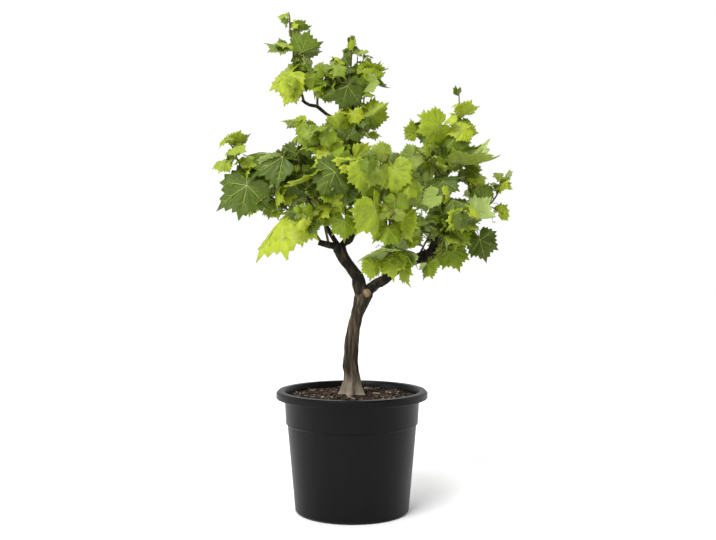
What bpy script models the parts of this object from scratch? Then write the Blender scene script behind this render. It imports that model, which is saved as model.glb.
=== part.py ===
"""A young grapevine on a short old trunk, growing in a round nursery pot.

Metres, +Z up. The origin is the middle of the pot's flat underside, and the plant is seen from the front
along +Y. The crown is grown by one rule from a plan of stems, twigs and the leaves that make its outline.
"""

import math
import random
from collections import namedtuple

import bmesh
import bpy
from mathutils import Matrix, Vector
from mathutils.bvhtree import BVHTree

GAP = 0.0003
SAME_PLACE = 0.0000005

# Pot, a 12 litre round container with a rolled rim
POT_HEIGHT = 0.240
RIM_RADIUS = 0.150
LIP_DROP = 0.0145
LIP_THICKNESS = 0.003
BAND_TOP_RADIUS = 0.1335
BAND_FOOT_RADIUS = 0.131
BAND_FOOT = 0.1755
STEP_DROP = 0.003
BODY_TOP_RADIUS = 0.128
BASE_RADIUS = 0.113
BASE_BEVEL = 0.004
WALL = 0.0025
FLOOR = 0.004
POT_SIDES = 32
DRAIN_HOLES = 8
DRAIN_RADIUS = 0.006
DRAIN_RING = 0.088

# Soil, mounded a little towards the trunk
SOIL_TOP = 0.2317
SOIL_SEAT_RADIUS = 0.034
SOIL_EDGE = 0.2262

# Trunk: x, y, z and radius up its middle, from the flat cut at the soil to the fork
TRUNK = [
    (0.0012, 0.000, 0.2320, 0.0190),
    (0.0012, 0.000, 0.2380, 0.0175),
    (0.0008, 0.000, 0.2480, 0.0165),
    (0.0010, 0.001, 0.2610, 0.0156),
    (-0.0030, 0.003, 0.2860, 0.0144),
    (-0.0020, 0.004, 0.3100, 0.0132),
    (-0.0010, 0.003, 0.3350, 0.0121),
    (0.0030, 0.001, 0.3600, 0.0119),
    (0.0080, 0.000, 0.3810, 0.0115),
    (0.0140, 0.000, 0.4020, 0.0128),
    (0.0195, 0.000, 0.4180, 0.0155),
    (0.0255, 0.000, 0.4310, 0.0162),
    (0.0290, 0.000, 0.4395, 0.0120),
]
TRUNK_SIDES = 14
FLARE_ROOTS = 5
FLARE_DEPTH = 0.0075
FLARE_HEIGHT = 0.045

# Limbs: x, y, z and radius along each, from inside the limb that carries it to its end
Limb = namedtuple("Limb", "carriers points")
LIMBS = {
    "arm_left": Limb(("trunk",), [
        (0.0200, 0.000, 0.4300, 0.0135),
        (0.0152, 0.000, 0.4467, 0.0135),
        (0.0119, 0.000, 0.4617, 0.0122),
        (0.0020, 0.000, 0.4770, 0.0110),
        (-0.0087, 0.000, 0.4920, 0.0104),
        (-0.0198, 0.000, 0.5073, 0.0110),
        (-0.0245, 0.000, 0.5200, 0.0125),
        (-0.0240, 0.000, 0.5300, 0.0105),
    ]),
    "arm_right": Limb(("trunk", "arm_left"), [
        (0.0277, 0.000, 0.4340, 0.0105),
        (0.0396, 0.000, 0.4439, 0.0102),
        (0.0515, -0.001, 0.4518, 0.0098),
        (0.0653, -0.002, 0.4600, 0.0095),
        (0.0950, -0.003, 0.4855, 0.0098),
        (0.1307, -0.003, 0.5010, 0.0100),
        (0.1530, -0.002, 0.5080, 0.0118),
        (0.1650, 0.000, 0.5180, 0.0140),
        (0.1690, 0.000, 0.5350, 0.0115),
    ]),
    "spur_left": Limb(("arm_left",), [
        (-0.0240, 0.000, 0.5250, 0.0075),
        (-0.0424, 0.000, 0.5271, 0.0066),
        (-0.0665, 0.000, 0.5330, 0.0055),
    ]),
    "leader": Limb(("arm_left", "spur_left"), [
        (-0.0230, 0.001, 0.5200, 0.0072),
        (-0.0150, 0.004, 0.5320, 0.0070),
        (-0.0030, 0.006, 0.5400, 0.0064),
        (0.0090, 0.007, 0.5726, 0.0058),
        (0.0175, 0.007, 0.6000, 0.0062),
        (0.0095, 0.006, 0.6130, 0.0052),
        (0.0020, 0.004, 0.6261, 0.0050),
        (-0.0040, 0.002, 0.6560, 0.0046),
        (-0.0059, 0.000, 0.6855, 0.0043),
        (-0.0020, 0.000, 0.7113, 0.0041),
        (0.0040, 0.000, 0.7400, 0.0038),
    ]),
    "bough_top_left": Limb(("leader",), [
        (-0.0010, 0.000, 0.7280, 0.0036),
        (-0.0099, 0.002, 0.7520, 0.0036),
        (-0.0280, 0.004, 0.7720, 0.0035),
        (-0.0487, 0.005, 0.7855, 0.0034),
        (-0.0683, 0.005, 0.8010, 0.0033),
        (-0.0851, 0.004, 0.8051, 0.0031),
        (-0.0990, 0.002, 0.8140, 0.0028),
    ]),
    "cane_right": Limb(("arm_right",), [
        (0.1690, 0.000, 0.5290, 0.0055),
        (0.1715, -0.002, 0.5600, 0.0050),
        (0.1742, -0.003, 0.5865, 0.0043),
    ]),
    "spur_right": Limb(("arm_right",), [
        (0.1660, 0.002, 0.5230, 0.0055),
        (0.1850, 0.004, 0.5360, 0.0050),
        (0.2050, 0.003, 0.5500, 0.0042),
    ]),
    "bough_back_left": Limb(("arm_left", "leader", "spur_left"), [
        (-0.0240, 0.002, 0.5220, 0.0058),
        (-0.0330, 0.024, 0.5350, 0.0052),
        (-0.0500, 0.048, 0.5620, 0.0046),
        (-0.0720, 0.075, 0.5950, 0.0038),
    ]),
    "bough_back_right": Limb(("leader",), [
        (0.0175, 0.007, 0.6000, 0.0046),
        (0.0300, 0.030, 0.6120, 0.0044),
        (0.0500, 0.060, 0.6300, 0.0040),
        (0.0720, 0.090, 0.6480, 0.0034),
    ]),
}

THICK_LIMB = 0.009

# Where the photograph's sky shows through the crown, seen from the front: x, z and radius
SKY = [
    (0.060, 0.676, 0.008), (0.006, 0.660, 0.006), (-0.083, 0.606, 0.016), (-0.044, 0.553, 0.008),
    (0.001, 0.524, 0.010), (0.172, 0.705, 0.008), (0.165, 0.652, 0.008), (0.198, 0.640, 0.018),
    (0.228, 0.634, 0.010), (0.212, 0.614, 0.010), (0.115, 0.523, 0.012), (0.020, 0.497, 0.014),
]
EYE_BACK = 4.26
EYE_HEIGHT = 0.94

# One leaf of the outline: where its blade starts, its length, the way its tip points when seen from the
# front (0 right, 90 up) and how far the blade is turned about its midrib from facing the front
Blade = namedtuple("Blade", "x y z length points turn")

# One mass: the limb that carries its stem, the stem, the twigs as the share along the stem where each
# starts and the places it runs through, the leaves of the outline, and the middle and reach of its space
Mass = namedtuple("Mass", "limb leaf stem twigs blades middle reach")
MASSES = {
    "leaves_far_left": Mass("spur_left", 0.050, [
        (-0.060, 0.000, 0.5315), (-0.075, -0.002, 0.552), (-0.111, -0.008, 0.581), (-0.143, -0.012, 0.612),
        (-0.184, -0.012, 0.633), (-0.203, -0.006, 0.648), (-0.222, 0.000, 0.686), (-0.236, 0.000, 0.720),
        (-0.252, 0.000, 0.739),
    ], [
        (0.40, [(-0.150, -0.022, 0.650), (-0.132, -0.034, 0.705)]),
        (0.58, [(-0.196, 0.030, 0.668), (-0.200, 0.070, 0.700)]),
        (0.36, [(-0.150, 0.030, 0.620), (-0.165, 0.070, 0.640)]),
    ], [
        Blade(-0.204, -0.030, 0.644, 0.086, -150, 15),
        Blade(-0.133, -0.040, 0.698, 0.072, 152, 35),
        Blade(-0.151, -0.035, 0.690, 0.042, -151, 150),
        Blade(-0.226, 0.000, 0.729, 0.034, 20, 60),
        Blade(-0.225, -0.010, 0.720, 0.034, -126, 50),
        Blade(-0.251, 0.000, 0.691, 0.028, -172, 60),
        Blade(-0.252, 0.000, 0.738, 0.022, -130, 70),
        Blade(-0.148, -0.020, 0.637, 0.038, -108, 30),
    ], (-0.19, 0.01, 0.66), (0.10, 0.11, 0.10)),
    "leaves_left": Mass("spur_left", 0.052, [
        (-0.046, 0.000, 0.530), (-0.0535, -0.004, 0.565), (-0.0545, -0.010, 0.590), (-0.064, -0.022, 0.612),
        (-0.088, -0.034, 0.640), (-0.103, -0.042, 0.690),
    ], [
        (0.30, [(-0.075, -0.028, 0.580), (-0.118, -0.034, 0.592)]),
        (0.50, [(-0.060, -0.042, 0.645), (-0.058, -0.050, 0.672)]),
        (0.22, [(-0.080, -0.060, 0.575), (-0.100, -0.095, 0.600)]),
    ], [
        Blade(-0.067, -0.050, 0.663, 0.085, -150, 205),
        Blade(-0.136, -0.020, 0.580, 0.096, -131, 68),
        Blade(-0.098, -0.040, 0.575, 0.056, -103, 0),
        Blade(-0.110, -0.050, 0.706, 0.044, -105, 10),
    ], (-0.10, -0.05, 0.62), (0.09, 0.09, 0.11)),
    "leaves_top_left": Mass("bough_top_left", 0.034, [
        (-0.0950, 0.003, 0.811), (-0.1043, 0.000, 0.846), (-0.1113, 0.000, 0.870), (-0.1154, 0.000, 0.892),
        (-0.1154, 0.000, 0.912), (-0.1182, 0.000, 0.936), (-0.1224, 0.000, 0.954), (-0.1224, 0.000, 0.975),
        (-0.1250, 0.000, 0.986),
    ], [
        (0.06, [(-0.114, -0.010, 0.838), (-0.120, -0.014, 0.852)]),
        (0.36, [(-0.104, -0.006, 0.888), (-0.096, -0.010, 0.900)]),
        (0.30, [(-0.112, 0.030, 0.885), (-0.118, 0.050, 0.910)]),
    ], [
        Blade(-0.122, -0.020, 0.862, 0.058, -163, 40),
        Blade(-0.123, -0.020, 0.832, 0.038, -120, 25),
        Blade(-0.123, 0.000, 0.977, 0.014, 103, 60),
        Blade(-0.129, 0.000, 0.972, 0.015, 176, 75),
        Blade(-0.104, 0.000, 0.952, 0.024, 2, 75),
        Blade(-0.141, 0.000, 0.920, 0.035, 171, 78),
        Blade(-0.134, -0.010, 0.917, 0.022, 112, 20),
        Blade(-0.099, -0.010, 0.906, 0.047, 30, 50),
        Blade(-0.092, -0.015, 0.883, 0.022, -156, 30),
    ], (-0.120, 0.01, 0.890), (0.07, 0.09, 0.11)),
    "leaves_top_inner": Mass("bough_top_left", 0.036, [
        (-0.0683, 0.005, 0.801), (-0.068, 0.002, 0.825), (-0.062, -0.004, 0.850), (-0.056, -0.008, 0.868),
    ], [
        (0.55, [(-0.045, -0.016, 0.862), (-0.036, -0.022, 0.880)]),
        (0.35, [(-0.045, 0.020, 0.845), (-0.030, 0.045, 0.865)]),
        (0.30, [(-0.040, -0.018, 0.838), (-0.020, -0.024, 0.846)]),
    ], [
        Blade(-0.065, -0.015, 0.868, 0.026, 32, 40),
        Blade(-0.037, -0.030, 0.874, 0.038, -62, -50),
        Blade(-0.073, -0.020, 0.857, 0.034, -148, 30),
        Blade(-0.008, -0.030, 0.837, 0.058, -149, 50),
    ], (-0.045, 0.01, 0.860), (0.06, 0.08, 0.055)),
    "leaves_top_centre": Mass("leader", 0.036, [
        (0.0035, 0.000, 0.737), (0.0034, 0.000, 0.781), (0.0006, 0.000, 0.810), (0.0020, 0.000, 0.832),
        (0.0000, 0.000, 0.850), (-0.0020, 0.000, 0.874), (-0.0008, 0.000, 0.909), (-0.0069, 0.000, 0.937),
    ], [
        (0.06, [(0.0200, -0.002, 0.784), (0.0238, -0.003, 0.834), (0.0198, -0.002, 0.876),
                (0.0257, 0.000, 0.907)]),
        (0.05, [(0.0280, -0.004, 0.765), (0.0400, -0.012, 0.778)]),
        (0.45, [(0.0080, 0.006, 0.862), (0.0119, 0.008, 0.913)]),
        (0.16, [(0.0140, 0.030, 0.800), (0.0200, 0.055, 0.840)]),
        (0.12, [(-0.010, -0.016, 0.775), (-0.022, -0.026, 0.770)]),
    ], [
        Blade(0.039, -0.020, 0.781, 0.044, 35, 30),
        Blade(-0.026, -0.030, 0.754, 0.041, 84, 0),
        Blade(0.008, -0.020, 0.756, 0.021, 93, 40),
        Blade(0.040, 0.000, 0.741, 0.016, 0, 30),
        Blade(0.003, -0.008, 0.915, 0.020, 55, 40),
        Blade(-0.020, 0.000, 0.893, 0.026, 165, 68),
        Blade(0.024, -0.010, 0.868, 0.030, 40, 30),
        Blade(0.036, -0.008, 0.868, 0.036, -8, 35),
        Blade(0.040, -0.012, 0.850, 0.034, 20, 25),
        Blade(0.050, -0.006, 0.845, 0.026, -45, 40),
        Blade(0.012, -0.012, 0.835, 0.028, 60, 20),
    ], (0.015, 0.01, 0.830), (0.065, 0.09, 0.11)),
    "leaves_upper_left": Mass("leader", 0.042, [
        (-0.0040, 0.002, 0.656), (-0.012, -0.012, 0.672), (-0.030, -0.034, 0.700), (-0.055, -0.046, 0.728),
        (-0.080, -0.044, 0.750), (-0.094, -0.036, 0.768),
    ], [
        (0.30, [(-0.016, -0.054, 0.705), (-0.008, -0.062, 0.730)]),
        (0.45, [(-0.048, -0.066, 0.728), (-0.050, -0.074, 0.742)]),
        (0.20, [(-0.012, -0.060, 0.680), (0.002, -0.090, 0.694)]),
        (0.35, [(-0.040, -0.066, 0.700), (-0.040, -0.078, 0.706)]),
        (0.60, [(-0.080, -0.060, 0.735), (-0.090, -0.066, 0.742)]),
    ], [
        Blade(-0.108, -0.030, 0.772, 0.031, 184, 70),
        Blade(-0.096, -0.040, 0.770, 0.019, 130, 20),
        Blade(-0.092, -0.050, 0.761, 0.027, -136, 20),
        Blade(-0.082, -0.070, 0.742, 0.036, -102, 10),
        Blade(-0.049, -0.060, 0.740, 0.025, 115, 170),
        Blade(-0.047, -0.090, 0.735, 0.030, -82, 0),
        Blade(-0.004, -0.060, 0.732, 0.027, -26, 30),
        Blade(-0.012, -0.060, 0.738, 0.022, 140, 30),
        Blade(-0.070, -0.055, 0.752, 0.028, 95, 25),
        Blade(-0.039, -0.080, 0.700, 0.044, -145, 30),
        Blade(0.000, -0.100, 0.686, 0.044, -167, 60),
        Blade(0.006, -0.080, 0.692, 0.049, -53, 20),
    ], (-0.050, -0.07, 0.722), (0.085, 0.075, 0.065)),
    "leaves_centre": Mass("leader", 0.046, [
        (0.0060, 0.005, 0.619), (-0.006, -0.012, 0.628), (-0.020, -0.038, 0.648), (-0.034, -0.060, 0.672),
    ], [
        (0.18, [(-0.022, -0.018, 0.612), (-0.034, -0.026, 0.606)]),
        (0.30, [(-0.012, -0.048, 0.608), (-0.012, -0.064, 0.584)]),
        (0.45, [(0.004, -0.070, 0.645), (0.026, -0.094, 0.652)]),
        (0.45, [(-0.030, -0.075, 0.640), (-0.036, -0.110, 0.632)]),
    ], [
        Blade(-0.051, -0.080, 0.669, 0.028, -113, 30),
        Blade(-0.031, -0.060, 0.664, 0.056, -115, 15),
        Blade(-0.008, -0.080, 0.630, 0.034, -105, 20),
        Blade(0.037, -0.100, 0.643, 0.038, -125, 15),
        Blade(-0.037, -0.030, 0.599, 0.030, -68, 10),
        Blade(-0.014, -0.070, 0.573, 0.042, -87, 0),
    ], (-0.010, -0.08, 0.620), (0.065, 0.075, 0.075)),
    "leaves_centre_right": Mass("arm_right", 0.050, [
        (0.0950, -0.003, 0.4855), (0.0900, -0.022, 0.508), (0.0850, -0.042, 0.530), (0.0760, -0.068, 0.560),
        (0.0620, -0.092, 0.598),
    ], [
        (0.55, [(0.0950, -0.074, 0.572), (0.1180, -0.084, 0.592)]),
        (0.28, [(0.0740, -0.050, 0.512), (0.0600, -0.058, 0.500)]),
        (0.20, [(0.1000, -0.038, 0.506), (0.0980, -0.044, 0.494)]),
        (0.70, [(0.0700, -0.120, 0.575), (0.0820, -0.145, 0.590)]),
    ], [
        Blade(0.070, -0.050, 0.516, 0.070, 179, 65),
        Blade(0.044, -0.120, 0.593, 0.063, -79, 0),
        Blade(0.041, -0.060, 0.489, 0.034, -97, 0),
        Blade(0.078, -0.070, 0.501, 0.049, -88, 20),
        Blade(0.098, -0.040, 0.484, 0.042, -82, 10),
        Blade(0.097, -0.080, 0.576, 0.052, -81, 10),
        Blade(0.130, -0.090, 0.580, 0.028, -120, 150),
    ], (0.075, -0.085, 0.540), (0.080, 0.085, 0.10)),
    "leaves_front": Mass("leader", 0.048, [
        (0.0175, 0.007, 0.600), (0.024, -0.012, 0.612), (0.038, -0.044, 0.636), (0.056, -0.080, 0.664),
        (0.068, -0.116, 0.690),
    ], [
        (0.35, [(0.062, -0.040, 0.650), (0.086, -0.048, 0.672)]),
        (0.60, [(0.082, -0.094, 0.655), (0.112, -0.110, 0.652)]),
        (0.75, [(0.040, -0.120, 0.682), (0.018, -0.140, 0.690)]),
    ], [
        Blade(0.086, -0.060, 0.684, 0.036, -130, 160),
        Blade(0.074, -0.050, 0.694, 0.028, 120, 30),
        Blade(0.078, -0.110, 0.668, 0.052, -85, 10),
        Blade(0.050, -0.120, 0.668, 0.044, -110, 20),
        Blade(0.100, -0.100, 0.630, 0.050, -95, 10),
        Blade(0.060, -0.110, 0.700, 0.030, 150, 40),
        Blade(0.020, -0.110, 0.664, 0.040, -95, 10),
    ], (0.062, -0.09, 0.650), (0.085, 0.085, 0.065)),
    "leaves_right_top": Mass("cane_right", 0.046, [
        (0.1735, -0.003, 0.580), (0.180, 0.000, 0.612), (0.186, 0.000, 0.645), (0.190, 0.000, 0.670),
        (0.200, 0.000, 0.705), (0.210, 0.000, 0.740), (0.2138, 0.000, 0.769), (0.212, 0.000, 0.800),
        (0.211, 0.000, 0.834),
    ], [
        (0.10, [(0.166, -0.010, 0.640), (0.160, -0.022, 0.700), (0.150, -0.030, 0.738), (0.138, -0.030, 0.764)]),
        (0.36, [(0.188, -0.034, 0.705), (0.188, -0.052, 0.742)]),
        (0.28, [(0.158, -0.052, 0.680), (0.130, -0.060, 0.706)]),
        (0.38, [(0.180, 0.036, 0.710), (0.160, 0.066, 0.740)]),
        (0.44, [(0.212, 0.040, 0.725), (0.215, 0.065, 0.745)]),
    ], [
        Blade(0.124, -0.030, 0.746, 0.031, 105, 30),
        Blade(0.145, -0.030, 0.776, 0.019, 99, 20),
        Blade(0.166, -0.070, 0.756, 0.051, -157, 10),
        Blade(0.189, -0.060, 0.773, 0.024, -144, 20),
        Blade(0.215, -0.050, 0.749, 0.036, -170, 25),
        Blade(0.219, -0.010, 0.785, 0.039, 4, 70),
        Blade(0.225, -0.020, 0.746, 0.024, -10, 40),
        Blade(0.208, 0.000, 0.785, 0.017, 166, 40),
        Blade(0.209, 0.000, 0.806, 0.017, -163, 70),
        Blade(0.209, 0.000, 0.830, 0.015, 105, 60),
        Blade(0.211, 0.000, 0.828, 0.013, 39, 60),
        Blade(0.201, -0.060, 0.736, 0.040, -122, 10),
        Blade(0.171, -0.080, 0.704, 0.050, -168, 50),
        Blade(0.117, -0.060, 0.699, 0.035, -132, 160),
    ], (0.170, -0.01, 0.735), (0.085, 0.11, 0.075)),
    "leaves_right_outer": Mass("spur_right", 0.046, [
        (0.2000, 0.003, 0.5465), (0.225, 0.002, 0.572), (0.250, 0.000, 0.596), (0.275, 0.000, 0.611),
        (0.290, 0.000, 0.632), (0.303, 0.000, 0.648), (0.310, 0.000, 0.662),
    ], [
        (0.28, [(0.236, -0.004, 0.620), (0.226, -0.014, 0.665), (0.224, -0.018, 0.694)]),
        (0.50, [(0.278, 0.004, 0.602), (0.294, 0.002, 0.594)]),
        (0.35, [(0.240, 0.040, 0.625), (0.235, 0.075, 0.660)]),
    ], [
        Blade(0.229, -0.010, 0.706, 0.041, 10, 50),
        Blade(0.215, -0.050, 0.683, 0.070, -6, 140),
        Blade(0.229, -0.020, 0.677, 0.041, -32, 40),
        Blade(0.252, -0.030, 0.617, 0.038, 63, 15),
        Blade(0.293, 0.000, 0.644, 0.016, 158, 60),
        Blade(0.299, 0.000, 0.648, 0.018, 13, 60),
        Blade(0.301, 0.000, 0.642, 0.019, -24, 60),
        Blade(0.293, 0.000, 0.594, 0.020, 60, 40),
        Blade(0.299, 0.000, 0.592, 0.018, 13, 30),
        Blade(0.299, 0.000, 0.588, 0.017, -62, 30),
    ], (0.250, 0.02, 0.655), (0.070, 0.10, 0.075)),
    "leaves_right_low": Mass("arm_right", 0.050, [
        (0.1660, -0.002, 0.525), (0.172, -0.028, 0.540), (0.180, -0.052, 0.566), (0.186, -0.070, 0.596),
        (0.182, -0.076, 0.634),
    ], [
        (0.45, [(0.215, -0.052, 0.578), (0.240, -0.048, 0.572)]),
        (0.22, [(0.178, -0.046, 0.532), (0.176, -0.044, 0.512)]),
        (0.62, [(0.168, -0.086, 0.602), (0.156, -0.094, 0.622)]),
        (0.50, [(0.200, -0.090, 0.580), (0.210, -0.130, 0.590)]),
    ], [
        Blade(0.175, -0.070, 0.649, 0.046, -142, 10),
        Blade(0.155, -0.100, 0.618, 0.033, -140, 160),
        Blade(0.216, -0.080, 0.595, 0.053, -163, 15),
        Blade(0.190, -0.090, 0.573, 0.030, -134, 150),
        Blade(0.207, -0.060, 0.572, 0.028, -60, 20),
        Blade(0.196, -0.050, 0.553, 0.027, -65, 20),
        Blade(0.233, -0.020, 0.592, 0.034, 17, 30),
        Blade(0.234, -0.060, 0.582, 0.058, -19, 165),
        Blade(0.247, -0.050, 0.538, 0.048, -74, 10),
        Blade(0.194, -0.040, 0.519, 0.050, -70, 10),
        Blade(0.167, -0.030, 0.502, 0.019, -58, 20),
        Blade(0.149, -0.040, 0.490, 0.037, -123, 15),
    ], (0.195, -0.075, 0.570), (0.085, 0.085, 0.11)),
    "leaves_back_left": Mass("bough_back_left", 0.056, [
        (-0.068, 0.070, 0.589), (-0.088, 0.094, 0.618), (-0.104, 0.116, 0.655), (-0.116, 0.132, 0.700),
        (-0.112, 0.136, 0.748),
    ], [
        (0.25, [(-0.064, 0.120, 0.632), (-0.036, 0.150, 0.650)]),
        (0.40, [(-0.140, 0.110, 0.655), (-0.176, 0.112, 0.672)]),
        (0.45, [(-0.094, 0.160, 0.660), (-0.078, 0.192, 0.680)]),
        (0.70, [(-0.080, 0.140, 0.712), (-0.048, 0.146, 0.736)]),
        (0.12, [(-0.092, 0.100, 0.588), (-0.112, 0.122, 0.574)]),
    ], [], (-0.095, 0.125, 0.660), (0.12, 0.10, 0.12)),
    "leaves_back_right": Mass("bough_back_right", 0.056, [
        (0.067, 0.083, 0.644), (0.090, 0.110, 0.666), (0.112, 0.126, 0.694), (0.134, 0.134, 0.724),
    ], [
        (0.30, [(0.072, 0.146, 0.672), (0.056, 0.180, 0.684)]),
        (0.35, [(0.120, 0.110, 0.646), (0.156, 0.112, 0.640)]),
        (0.60, [(0.130, 0.160, 0.676), (0.150, 0.186, 0.672)]),
        (0.20, [(0.076, 0.110, 0.622), (0.074, 0.140, 0.598)]),
        (0.70, [(0.158, 0.118, 0.704), (0.190, 0.110, 0.712)]),
    ], [], (0.115, 0.130, 0.665), (0.11, 0.10, 0.10)),
    "leaves_back_low": Mass("arm_right", 0.052, [
        (0.1307, -0.003, 0.501), (0.138, 0.024, 0.514), (0.150, 0.056, 0.534), (0.166, 0.088, 0.556),
        (0.186, 0.116, 0.576),
    ], [
        (0.35, [(0.118, 0.062, 0.534), (0.092, 0.086, 0.544)]),
        (0.50, [(0.190, 0.060, 0.544), (0.222, 0.066, 0.552)]),
        (0.70, [(0.146, 0.120, 0.556), (0.124, 0.150, 0.562)]),
        (0.30, [(0.160, 0.046, 0.508), (0.176, 0.062, 0.496)]),
    ], [], (0.155, 0.100, 0.545), (0.12, 0.10, 0.08)),
    "leaves_back_high": Mass("leader", 0.046, [
        (-0.0059, 0.000, 0.6855), (-0.006, 0.022, 0.702), (-0.004, 0.050, 0.728), (-0.002, 0.076, 0.760),
        (-0.006, 0.090, 0.795),
    ], [
        (0.40, [(-0.028, 0.070, 0.730), (-0.058, 0.084, 0.748)]),
        (0.55, [(0.016, 0.090, 0.748), (0.034, 0.112, 0.770)]),
        (0.25, [(0.020, 0.044, 0.700), (0.046, 0.062, 0.702)]),
    ], [], (-0.008, 0.080, 0.745), (0.080, 0.075, 0.085)),
}

# The rule that places the leaves the plan doesn't name
NODE_STEP = 0.031
TIP_SHARE = 0.45
SPACING = 0.0006
OUTLINE_REACH = 0.62
OUTLINE_MARGIN = 0.010
TRIES = 10
STRAIGHT_PETIOLE = 0.032
SHORTEST_BEND = 0.006
NODE_GAP = 0.0030
LONGEST_PETIOLE = 0.060

# Wood of the crown
STEM_RADIUS = 0.0026
TWIG_RADIUS = 0.0017
TIP_RADIUS = 0.0010
PETIOLE_RADIUS = 0.0009

# A leaf seen flat, as shares of its length: along the midrib and across it, one side
HALF_OUTLINE = [(-0.14, 0.30), (0.36, 0.60)]
SMALL_HALF_OUTLINE = [(0.22, 0.50)]
SMALL_LEAF = 0.027
MIDDLE = 0.40
THICKNESS = 0.028
SIDE_DROP = 0.16
TIP_DROP = 0.14

UP = Vector((0, 0, 1))
FRONT = Vector((0, -1, 0))


def smooth(points, steps):
    """The points of a Catmull-Rom curve through these ones. A point has any number of coordinates."""
    ends = [points[0], *points, points[-1]]
    curve = []
    for a, b, c, d in zip(ends, ends[1:], ends[2:], ends[3:]):
        for step in range(steps):
            t = step / steps
            curve.append(tuple(
                0.5 * (2 * q + (r - p) * t + (2 * p - 5 * q + 4 * r - s) * t**2 + (3 * q - p - 3 * r + s) * t**3)
                for p, q, r, s in zip(a, b, c, d)
            ))
    curve.append(tuple(points[-1]))
    return curve


def tapered(places, first, last):
    """Places with a radius that falls evenly from first to last."""
    count = len(places) - 1
    return [(*place, first + (last - first) * i / count) for i, place in enumerate(places)]


def point_at(path, share):
    """The place and the direction at this share along a path."""
    places = [Vector(p[:3]) for p in path]
    lengths = [(b - a).length for a, b in zip(places, places[1:])]
    left = share * sum(lengths)
    for a, b, length in zip(places, places[1:], lengths):
        if left <= length:
            break
        left -= length
    return a.lerp(b, min(left / length, 1.0)), (b - a).normalized()


def rings(path, sides, swell=0.0):
    """Rings of points round a path, kept from twisting."""
    places = [Vector(p[:3]) for p in path]
    across = None
    made = []
    for i, place in enumerate(places):
        ahead = places[min(i + 1, len(places) - 1)] - places[max(i - 1, 0)]
        ahead.normalize()
        across = (across or ahead.orthogonal()) - ahead * (across or ahead.orthogonal()).dot(ahead)
        across.normalize()
        beside = ahead.cross(across)
        radius = path[i][3] + swell
        made.append([
            place + radius * (math.cos(angle) * across + math.sin(angle) * beside)
            for angle in (2 * math.pi * k / sides for k in range(sides))
        ])
    return made


def tube_shape(path, sides=3, swell=0.0):
    """Points and faces of a closed tube along a path."""
    loops = rings(path, sides, swell)
    points = [point for loop in loops for point in loop]
    faces = [tuple(reversed(range(sides))), tuple(range(len(points) - sides, len(points)))]
    for i in range(len(loops) - 1):
        for k in range(sides):
            near = i * sides
            after = (k + 1) % sides
            faces.append((near + k, near + after, near + sides + after, near + sides + k))
    return points, faces


def blade_frame(root, ahead, normal, length):
    """The matrix that lays a flat unit leaf at its place: X along the midrib, Z out of the upper side."""
    ahead = ahead.normalized()
    normal = (normal - ahead * normal.dot(ahead)).normalized()
    side = normal.cross(ahead)
    turn = Matrix((ahead, side, normal)).transposed().to_4x4()
    return Matrix.Translation(root) @ turn @ Matrix.Scale(length, 4)


def blade_corners(frame):
    """The corners of a leaf's outline, round from one side of its stalk, and the middles of its two faces."""
    half = SMALL_HALF_OUTLINE if frame.to_scale().x < SMALL_LEAF else HALF_OUTLINE
    flat = [Vector((x, -y, -SIDE_DROP * y)) for x, y in half]
    flat += [Vector((1, 0, -TIP_DROP))]
    flat += [Vector((x, y, -SIDE_DROP * y)) for x, y in reversed(half)]
    middles = [Vector((MIDDLE, 0, 0.5 * THICKNESS)), Vector((MIDDLE, 0, -0.5 * THICKNESS))]
    return [frame @ point for point in flat], [frame @ point for point in middles]


def blade_shape(frame):
    """Points and faces of a thin closed leaf without its stalk: a low roof over and under its outline."""
    corners, middles = blade_corners(frame)
    corners = [frame.to_translation(), *corners]
    count = len(corners)
    faces = []
    for i in range(count):
        after = (i + 1) % count
        faces.append((count, i, after))
        faces.append((count + 1, after, i))
    return corners + middles, faces


def stalk_rings(leaf):
    """Three points round each bend of a leaf's stalk, from the blade to the twig: either side and above."""
    places = [Vector(p[:3]) for p in reversed(leaf.petiole)]
    across = leaf.frame.col[1].to_3d()
    loops = []
    for i, place in enumerate(places):
        before = (places[max(i - 1, 0)] - place).normalized()
        after = (place - places[min(i + 1, len(places) - 1)]).normalized()
        ahead = (before + after).normalized()
        across = (across - ahead * ahead.dot(across)).normalized()
        above = ahead.cross(across)
        radius = leaf.petiole[-1 - i][3]
        loops.append([place - across * radius, place + across * radius, place + above * radius])
    return loops


def leaf_shape(leaf):
    """Points and faces of a leaf and its three-sided stalk as one closed body."""
    corners, middles = blade_corners(leaf.frame)
    loops = stalk_rings(leaf)
    points = [*loops[0], *corners, *middles, *(point for loop in loops[1:] for point in loop)]
    over = len(corners) + 3
    round_top = [0, *range(3, over), 1, 2]
    round_under = [0, *range(3, over), 1]
    faces = [(over, a, b) for a, b in zip(round_top, round_top[1:] + [0])]
    faces += [(over + 1, b, a) for a, b in zip(round_under, round_under[1:] + [0])]
    near = [2, 1, 0]
    for i in range(1, len(loops)):
        first = over + 2 + 3 * (i - 1)
        far = [first + 2, first + 1, first]
        for k in range(3):
            after = (k + 1) % 3
            faces += [(near[k], near[after], far[after]), (near[k], far[after], far[k])]
        near = far
    faces.append(tuple(near))
    return points, faces


Leaf = namedtuple("Leaf", "frame length petiole")


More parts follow.
